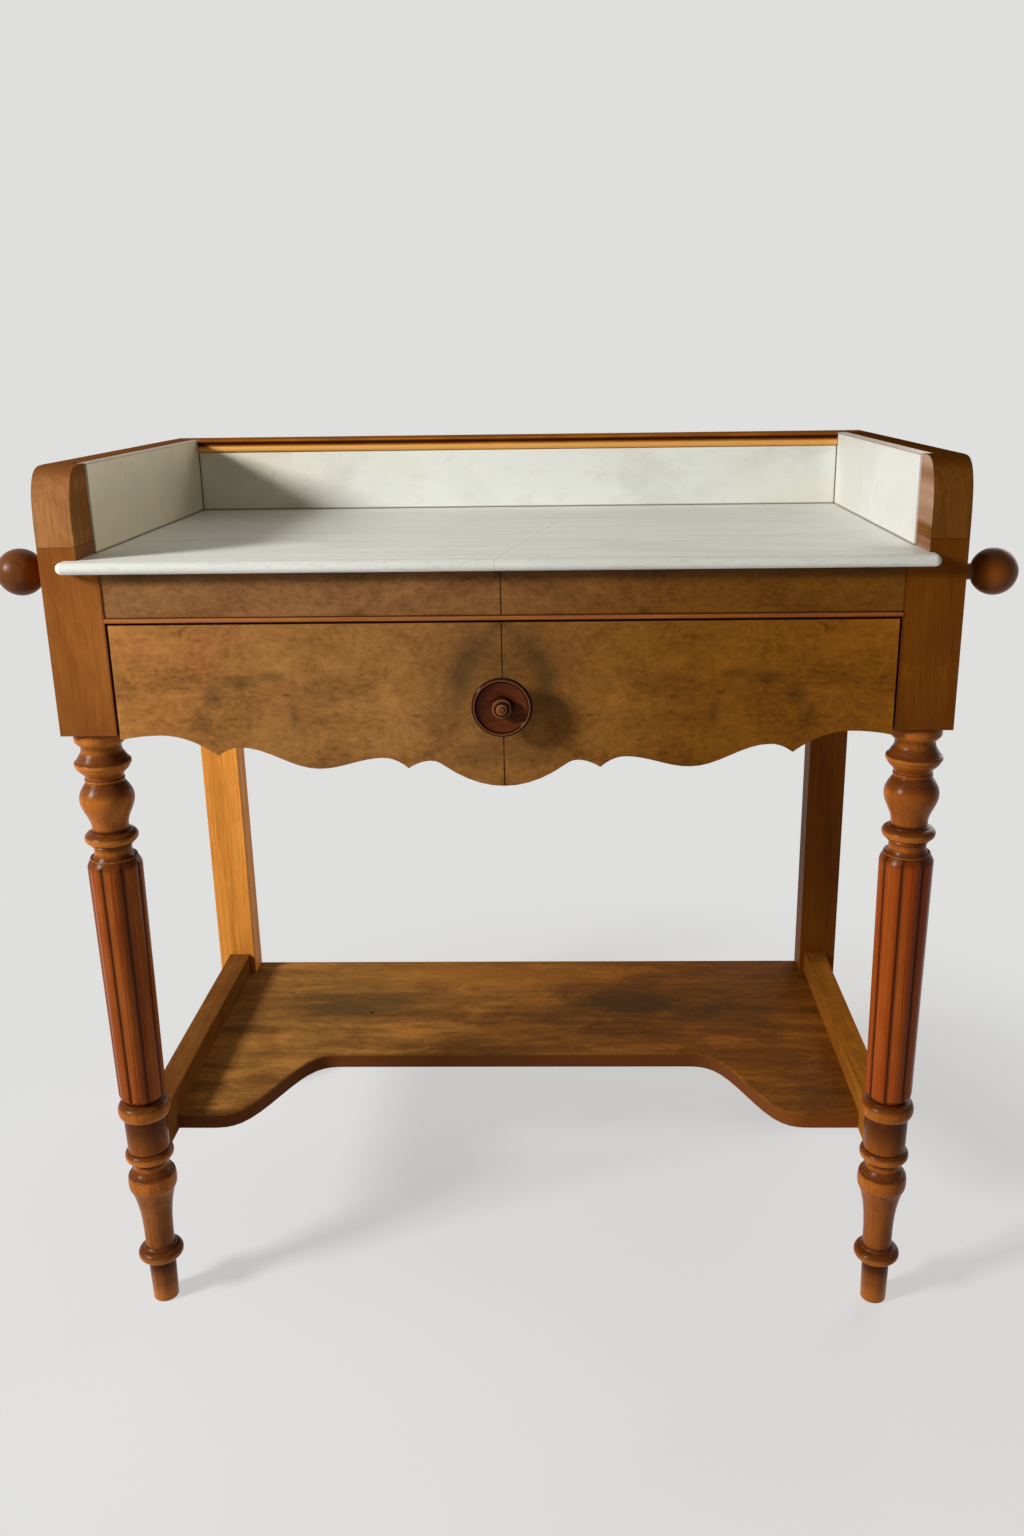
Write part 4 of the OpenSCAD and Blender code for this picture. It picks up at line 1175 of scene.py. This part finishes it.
class FinishMarble(bpy.types.Operator):
    """Finishes the marble top and its upright slips."""

    bl_idname = "washstand.finish_marble"
    bl_label = "Marble"

    def execute(self, context):
        stone, sizes = context.scene.washstand_marble, context.scene.washstand_work
        top = streaked_marble(stone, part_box("marble_top")[0].y)
        worked("marble_top", top, sizes.fine_ease)
        whites = {"back": stone.splash, "left": stone.splash_left, "right": stone.splash_right}
        for place, white in whites.items():
            slip = clouded_marble(place + " slip marble", stone, white)
            worked("marble_splash_" + place, slip, sizes.fine_ease * 1.5)
        return {"FINISHED"}


# ---------------------------------------------------------------- shelf

# Dark clouds on the shelf: place, reach across and in depth, strength
STAINS = (
    (-0.230, 0.120, 0.165, 0.085, 0.72),
    (0.150, 0.120, 0.160, 0.075, 0.75),
    (0.285, 0.090, 0.080, 0.050, 0.45),
    (0.335, -0.090, 0.060, 0.050, 0.45),
    (-0.345, 0.080, 0.040, 0.050, 0.40),
    (0.040, 0.080, 0.050, 0.022, 0.35),
)
NAIL = (-0.191, 0.099)  # place of a nail's head in the shelf


def stained_board(woods, front_edge):
    """The shelf: grain along its length, dark clouds, a red-brown front edge, and painted light and
    shade: lighter and greyer to the left, darker to the right.
    """
    wood = Wood(
        "shelf wood",
        woods.shelf,
        "X",
        heart=(0.25, 0.5),
        figure=0.6,
        contrast=0.9,
        clouds=0.5,
        roughness=0.62,
        shine=0.04,
    )
    x, _, z = wood.apart(wood.place)
    streak = wood.noise(wood.stretch(wood.place, (5, 60, 60)), 5, 0.62, 0.2)
    blotch = wood.noise(wood.stretch(wood.place, (11, 26, 26), (0.7, 0.2, 0)), 6, 0.68, 0.6)
    streak = wood.sum("MULTIPLY_ADD", streak, 0.4, wood.times(blotch, 0.6))
    wood.lay(wood.span(streak, 0.49, 0.62, 0.0, 0.75), (1.55, 1.52, 1.40))
    wood.lay(wood.span(streak, 0.50, 0.38, 0.0, 0.75), (0.50, 0.46, 0.42))
    fine = wood.noise(wood.stretch(wood.place, (70, 150, 150)), 4, 0.66)
    wood.lay_tone(wood.span(fine, 0.50, 0.68, 0.0, 0.5), (0.66, 0.60, 0.54))
    wood.lay_tone(wood.span(fine, 0.50, 0.34, 0.0, 0.5), (1.25, 1.27, 1.25))
    ragged = wood.noise(wood.stretch(wood.place, (14, 30, 30)), 5, 0.65, 0.5)
    for across, deep, wide, far, strength in STAINS:
        cloud = wood.patch(wood.place, (across, deep, 0), (wide, far, 0), 0.95, ragged, 1.6)
        wood.lay(wood.times(cloud, strength), (0.24, 0.31, 0.42))
    warm = wood.patch(wood.place, (-0.08, 0.205, 0), (0.26, 0.06, 0), 1.0, ragged, 1.0)
    wood.lay(wood.times(warm, 0.5), (1.6, 1.5, 1.1))
    # Painted light on the left of the shelf and painted shade on its right.
    wood.lay_tone(wood.span(x, -0.05, -0.25), (1.06, 1.16, 1.40))
    wood.lay_tone(wood.span(x, -0.10, 0.22), (0.76, 0.62, 0.34))
    nail = wood.distance(wood.place, (*NAIL, front_edge))
    wood.lay(wood.span(nail, 0.0034, 0.0014, 0.0, 0.95), (0.06, 0.06, 0.1))
    side = wood.span(z, front_edge - 0.0012, front_edge - 0.0030)
    # Painted light: the front edge lighter to the right, where its lobes face the lamp.
    redder = darker(woods.shelf_edge, (1.7, 1.7, 1.2))
    edge = wood.blend(wood.span(x, 0.20, 0.34), woods.shelf_edge, redder)
    wood.base = wood.blend(side, wood.base, edge)
    return wood.done()


class FinishShelf(bpy.types.Operator):
    """Finishes the shelf."""

    bl_idname = "washstand.finish_shelf"
    bl_label = "Shelf"

    def execute(self, context):
        woods, sizes = context.scene.washstand_woods, context.scene.washstand_work
        worked("shelf", stained_board(woods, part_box("shelf")[1].z), sizes.ease)
        return {"FINISHED"}


# ---------------------------------------------------------------- knob and towel rails


def knob_members(r, h):
    """The knob's dish, from its foot to the tip of its boss, for a rim radius and a reach."""
    boss = 0.35 * r
    rim, rim_h, hollow = 0.54 * h, 0.18 * h, 0.57 * h
    return (
        ("line", 0, 0, 0, 0.55 * r),
        ("line", 0, 0.07 * h, 0.55 * r, 0.55 * r),
        ("sweep", 0.07 * h, 0.16 * h, 0.5 * r, 0.37 * r),
        ("flare", 0.27 * h, rim - 0.27 * h, 0.38 * r, 0.89 * r),
        ("bead", rim, rim_h, 0.9 * r, r),
        ("line", rim + 0.86 * rim_h, -0.08 * rim_h, 0.87 * r, 0.855 * r),
        ("flare", rim + 0.8 * rim_h, hollow - rim - 0.8 * rim_h, 0.86 * r, 1.15 * boss, 12),
        ("line", hollow, 0.77 * h - hollow, boss, boss),
        ("bead", 0.77 * h, 0.07 * h, 0.88 * boss, boss, 8),
        ("line", 0.84 * h, 0.08 * h, 0.76 * boss, 0.74 * boss),
        ("line", 0.94 * h, 0.01 * h, 0.66 * boss, 0.4 * boss),
        ("line", 0.975 * h, 0.02 * h, 0.36 * boss, 0.30 * boss),
        ("line", h, 0, 0.20 * boss, 0),
    )


# The knob's tenon in the drawer front: radius, and how far it reaches behind the veneer's face
TENON_R, TENON_REACH = 0.0069, 0.0125
KNOB_STEPS, TENON_STEPS = 96, 32
KNOB_HOLLOWS = {"reach": 0.0025, "depth": 0.0016}


def polished(name, woods, axis, radius):
    """Dark polished wood: a lighter dish, fine rings on the boss, a near-black rim with one
    paler ring in it."""
    f = Finish(name, 0.13, 0.045)
    x, _, z = f.apart(f.place)
    out = f.distance(f.point(x, 0.0, z), axis)
    grain = f.noise(f.stretch(f.place, (60, 60, 420)), 4, 0.6, 0.3)
    dish = f.blend(f.span(grain, 0.40, 0.68), woods.knob, darker(woods.knob, (1.5, 1.6, 1.6)))
    dark, light = tuple(woods.knob_rim), darker(woods.knob, (1.5, 2.4, 3.6))
    boss = f.ramp(
        f.sum("DIVIDE", out, radius),
        (0.00, dark),
        (0.05, light),
        (0.09, dark),
        (0.15, light),
        (0.19, dark),
        (0.25, dark),
        (0.29, light),
        (0.33, dark),
    )
    base = f.blend(f.span(out, radius * 0.36, radius * 0.40), boss, dish)
    base = f.blend(f.span(out, radius * 0.80, radius * 0.84), base, dark)
    rim = f.span(f.off(out, radius * 0.91), radius * 0.03, radius * 0.01, 0.0, 0.5)
    base = f.blend(rim, base, light)
    hollow = f.attribute("hollow")
    # Painted shade: the knob's hollows darkened towards the rim's colour.
    base = f.blend(f.span(hollow, 0.3, 0.9, 0.0, 0.7), base, woods.knob_rim)
    f.colour(base)
    f.relief(grain, 0.06, 0.0003)
    return f.material


class TurnKnob(bpy.types.Operator):
    """Turns the knob and polishes it."""

    bl_idname = "washstand.turn_knob"
    bl_label = "Knob"

    def execute(self, context):
        woods = context.scene.washstand_woods
        low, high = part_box("drawer_knob")
        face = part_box("drawer_veneer_left")[0].y
        r, h = (high.x - low.x) / 2, face - low.y
        profile = outline(knob_members(r, h))
        dish = spun(profile, KNOB_STEPS)
        mark_hollows(dish, profile, **KNOB_HOLLOWS)
        end, start = -TENON_REACH, 0.0001
        tenon = spun([(0, end), (TENON_R, end), (TENON_R, start), (0, start)], TENON_STEPS)
        middle = (low.z + high.z) / 2
        wood = polished("knob wood", woods, (0, 0, middle), r)
        turn = Euler((math.pi / 2, 0, 0)).to_matrix()
        for work, name in ((dish, "turned_knob"), (tenon, "knob_tenon")):
            bmesh.ops.rotate(work, cent=(0, 0, 0), matrix=turn, verts=work.verts)
            bmesh.ops.translate(work, vec=(0, face, middle), verts=work.verts)
            piece = finished(work, name, wood)
            piece.data.set_sharp_from_angle(angle=SHARP_KNOB)
            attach(piece, DRAWER)
            if name == "turned_knob":
                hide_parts("drawer_knob")
        return {"FINISHED"}


class FinishTowelRails(bpy.types.Operator):
    """Finishes the towel rods and their balls."""

    bl_idname = "washstand.finish_towel_rails"
    bl_label = "Towel rails"

    def execute(self, context):
        woods = context.scene.washstand_woods
        rod = Wood("rod wood", darker(woods.ball_left, 2.0), "X", heart=(-0.16, 0.76)).done()
        for side, sign in SIDES.items():
            low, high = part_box("towel_ball_" + side)
            ball = Wood(
                "ball wood " + side,
                getattr(woods, "ball_" + side),
                heart=(sign * 0.43, -0.10),
                roughness=0.34,
                shine=0.12,
                contrast=1.0,
                clouds=0.8,
            )
            centre = (low + high) / 2
            # Painted highlight: a pale spot laid on each ball, strong on the right one.
            lightened = (centre.x + 0.005, low.y, centre.z + 0.002)
            glow = ball.patch(ball.place, lightened, (0.016, 0.030, 0.020), 1.0)
            ball.lay(ball.times(glow, 0.85 if side == "right" else 0.35), (3.6, 3.2, 2.4))
            piece = finished(merged("towel_ball_" + side), "turned_ball_" + side, ball.done())
            piece.data.set_sharp_from_angle(angle=SHARP_TURNING)
            take_over(piece, ["towel_ball_" + side], "towel_rail_" + side)
            finish_only("towel_rod_" + side, rod)
        return {"FINISHED"}


# ---------------------------------------------------------------- studio

# Each lamp: its place, the point it is turned to, the width of its square, and its colour
WINDOW = {
    "place": (-2.28, -1.35, 1.74),
    "aim": (-0.1, 0.0, 0.72),
    "size": 0.55,
    "tint": (1.0, 0.97, 0.93),
}
BEHIND = {
    "place": (2.0, 2.4, 1.7),
    "aim": (0.0, 0.1, 0.6),
    "size": 2.2,
    "tint": (1.0, 0.94, 0.84),
}
FLOOR_RADIUS = 40
SHADOW_MIDDLE = (0.10, 0.05, 0.0)  # round this point the floor keeps its soft shadow
SENSOR = 36.0
SIDEWAYS_SHIFT = -0.0193  # the picture is cropped off the lens's axis


def seen_rays(nodes, links):
    """1 for the rays that show a thing to the eye, straight, mirrored or through glass."""
    rays = nodes.new("ShaderNodeLightPath")
    seen = rays.outputs["Is Camera Ray"]
    for other in ("Is Glossy Ray", "Is Transmission Ray"):
        either = nodes.new("ShaderNodeMath")
        either.operation = "MAXIMUM"
        links.new(seen, either.inputs[0])
        links.new(rays.outputs[other], either.inputs[1])
        seen = either.outputs[0]
    return seen


def pale_ground(name, near, far, even):
    """A pale floor that keeps a soft shadow near the washstand and fades to the backdrop's tone."""
    f = Finish(name, 0.9, 0.0)
    paper = f.noise(f.stretch(f.place, (160, 160, 160)), 3, 0.6)
    f.colour(f.blend(f.span(paper, 0.3, 0.7), darker(near, 0.985), near))
    x, y, _ = f.apart(f.place)
    away = f.distance(f.point(x, y, 0.0), SHADOW_MIDDLE)
    glow = f.nodes.new("ShaderNodeEmission")
    f.feed(glow.inputs["Color"], far)
    mix = f.nodes.new("ShaderNodeMixShader")
    seen = seen_rays(f.nodes, f.links)
    f.feed(mix.inputs[0], f.times(f.span(away, 0.45, 1.0, even, 1.0), seen))
    f.links.new(f.shader.outputs[0], mix.inputs[1])
    f.links.new(glow.outputs[0], mix.inputs[2])
    f.links.new(mix.outputs[0], f.nodes["Material Output"].inputs["Surface"])
    return f.material


def soft_lamp(name, watts, place, aim, size, tint):
    """A square area lamp turned to a point."""
    data = bpy.data.lights.new(name, "AREA")
    data.shape = "SQUARE"
    data.size = size
    data.energy = watts
    data.color = tint
    lamp = bpy.data.objects.new(name, data)
    lamp.location = place
    lamp.rotation_euler = (Vector(aim) - Vector(place)).to_track_quat("-Z", "Y").to_euler()
    bpy.context.scene.collection.objects.link(lamp)


def even_room(studio):
    """A world of even light, which shows the backdrop's tone to the eye."""
    world = bpy.data.worlds.new("room")
    world.use_nodes = True
    nodes, links = world.node_tree.nodes, world.node_tree.links
    light = nodes["Background"]
    light.inputs["Color"].default_value = (*studio.room_tone, 1.0)
    light.inputs["Strength"].default_value = studio.room
    shown = nodes.new("ShaderNodeBackground")
    shown.inputs["Color"].default_value = (*studio.backdrop, 1.0)
    mix = nodes.new("ShaderNodeMixShader")
    links.new(seen_rays(nodes, links), mix.inputs[0])
    links.new(light.outputs[0], mix.inputs[1])
    links.new(shown.outputs[0], mix.inputs[2])
    links.new(mix.outputs[0], nodes["World Output"].inputs["Surface"])
    return world


def placed_camera(studio):
    """The camera, a little above the gallery and in front of the drawer."""
    data = bpy.data.cameras.new("camera")
    data.lens = studio.lens
    data.sensor_width = SENSOR
    data.shift_x = SIDEWAYS_SHIFT
    data.clip_start, data.clip_end = 0.05, 100.0
    camera = bpy.data.objects.new("camera", data)
    camera.location = studio.eye
    camera.rotation_euler = studio.aim
    bpy.context.scene.collection.objects.link(camera)
    return camera


class SetStudio(bpy.types.Operator):
    """Lays the floor and sets the room light, the lamps and the camera."""

    bl_idname = "washstand.set_studio"
    bl_label = "Studio"

    def execute(self, context):
        scene, studio = context.scene, context.scene.washstand_studio
        work = bmesh.new()
        bmesh.ops.create_circle(
            work, cap_ends=True, cap_tris=False, segments=96, radius=FLOOR_RADIUS
        )
        floor = pale_ground("pale floor", studio.floor, studio.backdrop, studio.even)
        finished(work, "studio_floor", floor)
        scene.world = even_room(studio)
        soft_lamp("window", studio.window, **WINDOW)
        soft_lamp("behind", studio.behind, **BEHIND)
        scene.camera = placed_camera(studio)
        scene.view_settings.view_transform = "Standard"
        return {"FINISHED"}


# ---------------------------------------------------------------- add-on


class WashstandPanel(bpy.types.Panel):
    """Lists the washstand's sizes, colours and steps."""

    bl_idname = "VIEW3D_PT_washstand"
    bl_label = "Washstand"
    bl_space_type = "VIEW_3D"
    bl_region_type = "UI"
    bl_category = "Washstand"

    def draw(self, context):
        """The steps as buttons, then each group of values in a box."""
        layout = self.layout
        for step in STEPS:
            layout.operator(step.bl_idname)
        for name, group in GROUPS.items():
            box = layout.box()
            box.label(text=group.__doc__)
            for key in group.__annotations__:
                box.prop(getattr(context.scene, name), key)


STEPS = (
    TurnLegs,
    FinishCase,
    FinishInside,
    LayVeneers,
    FinishMarble,
    FinishShelf,
    TurnKnob,
    FinishTowelRails,
    SetStudio,
)


def register():
    """Adds the properties, the steps and the panel."""
    for group in GROUPS.values():
        bpy.utils.register_class(group)
    for name, group in GROUPS.items():
        setattr(bpy.types.Scene, name, PointerProperty(type=group))
    for step in (*STEPS, WashstandPanel):
        bpy.utils.register_class(step)


def unregister():
    """Takes them away again."""
    for step in reversed((*STEPS, WashstandPanel)):
        bpy.utils.unregister_class(step)
    for name in GROUPS:
        delattr(bpy.types.Scene, name)
    for group in reversed(GROUPS.values()):
        bpy.utils.unregister_class(group)


def main():
    """Runs every step."""
    register()
    for step in STEPS:
        family, action = step.bl_idname.split(".")
        getattr(getattr(bpy.ops, family), action)()


if __name__ == "__main__":
    main()
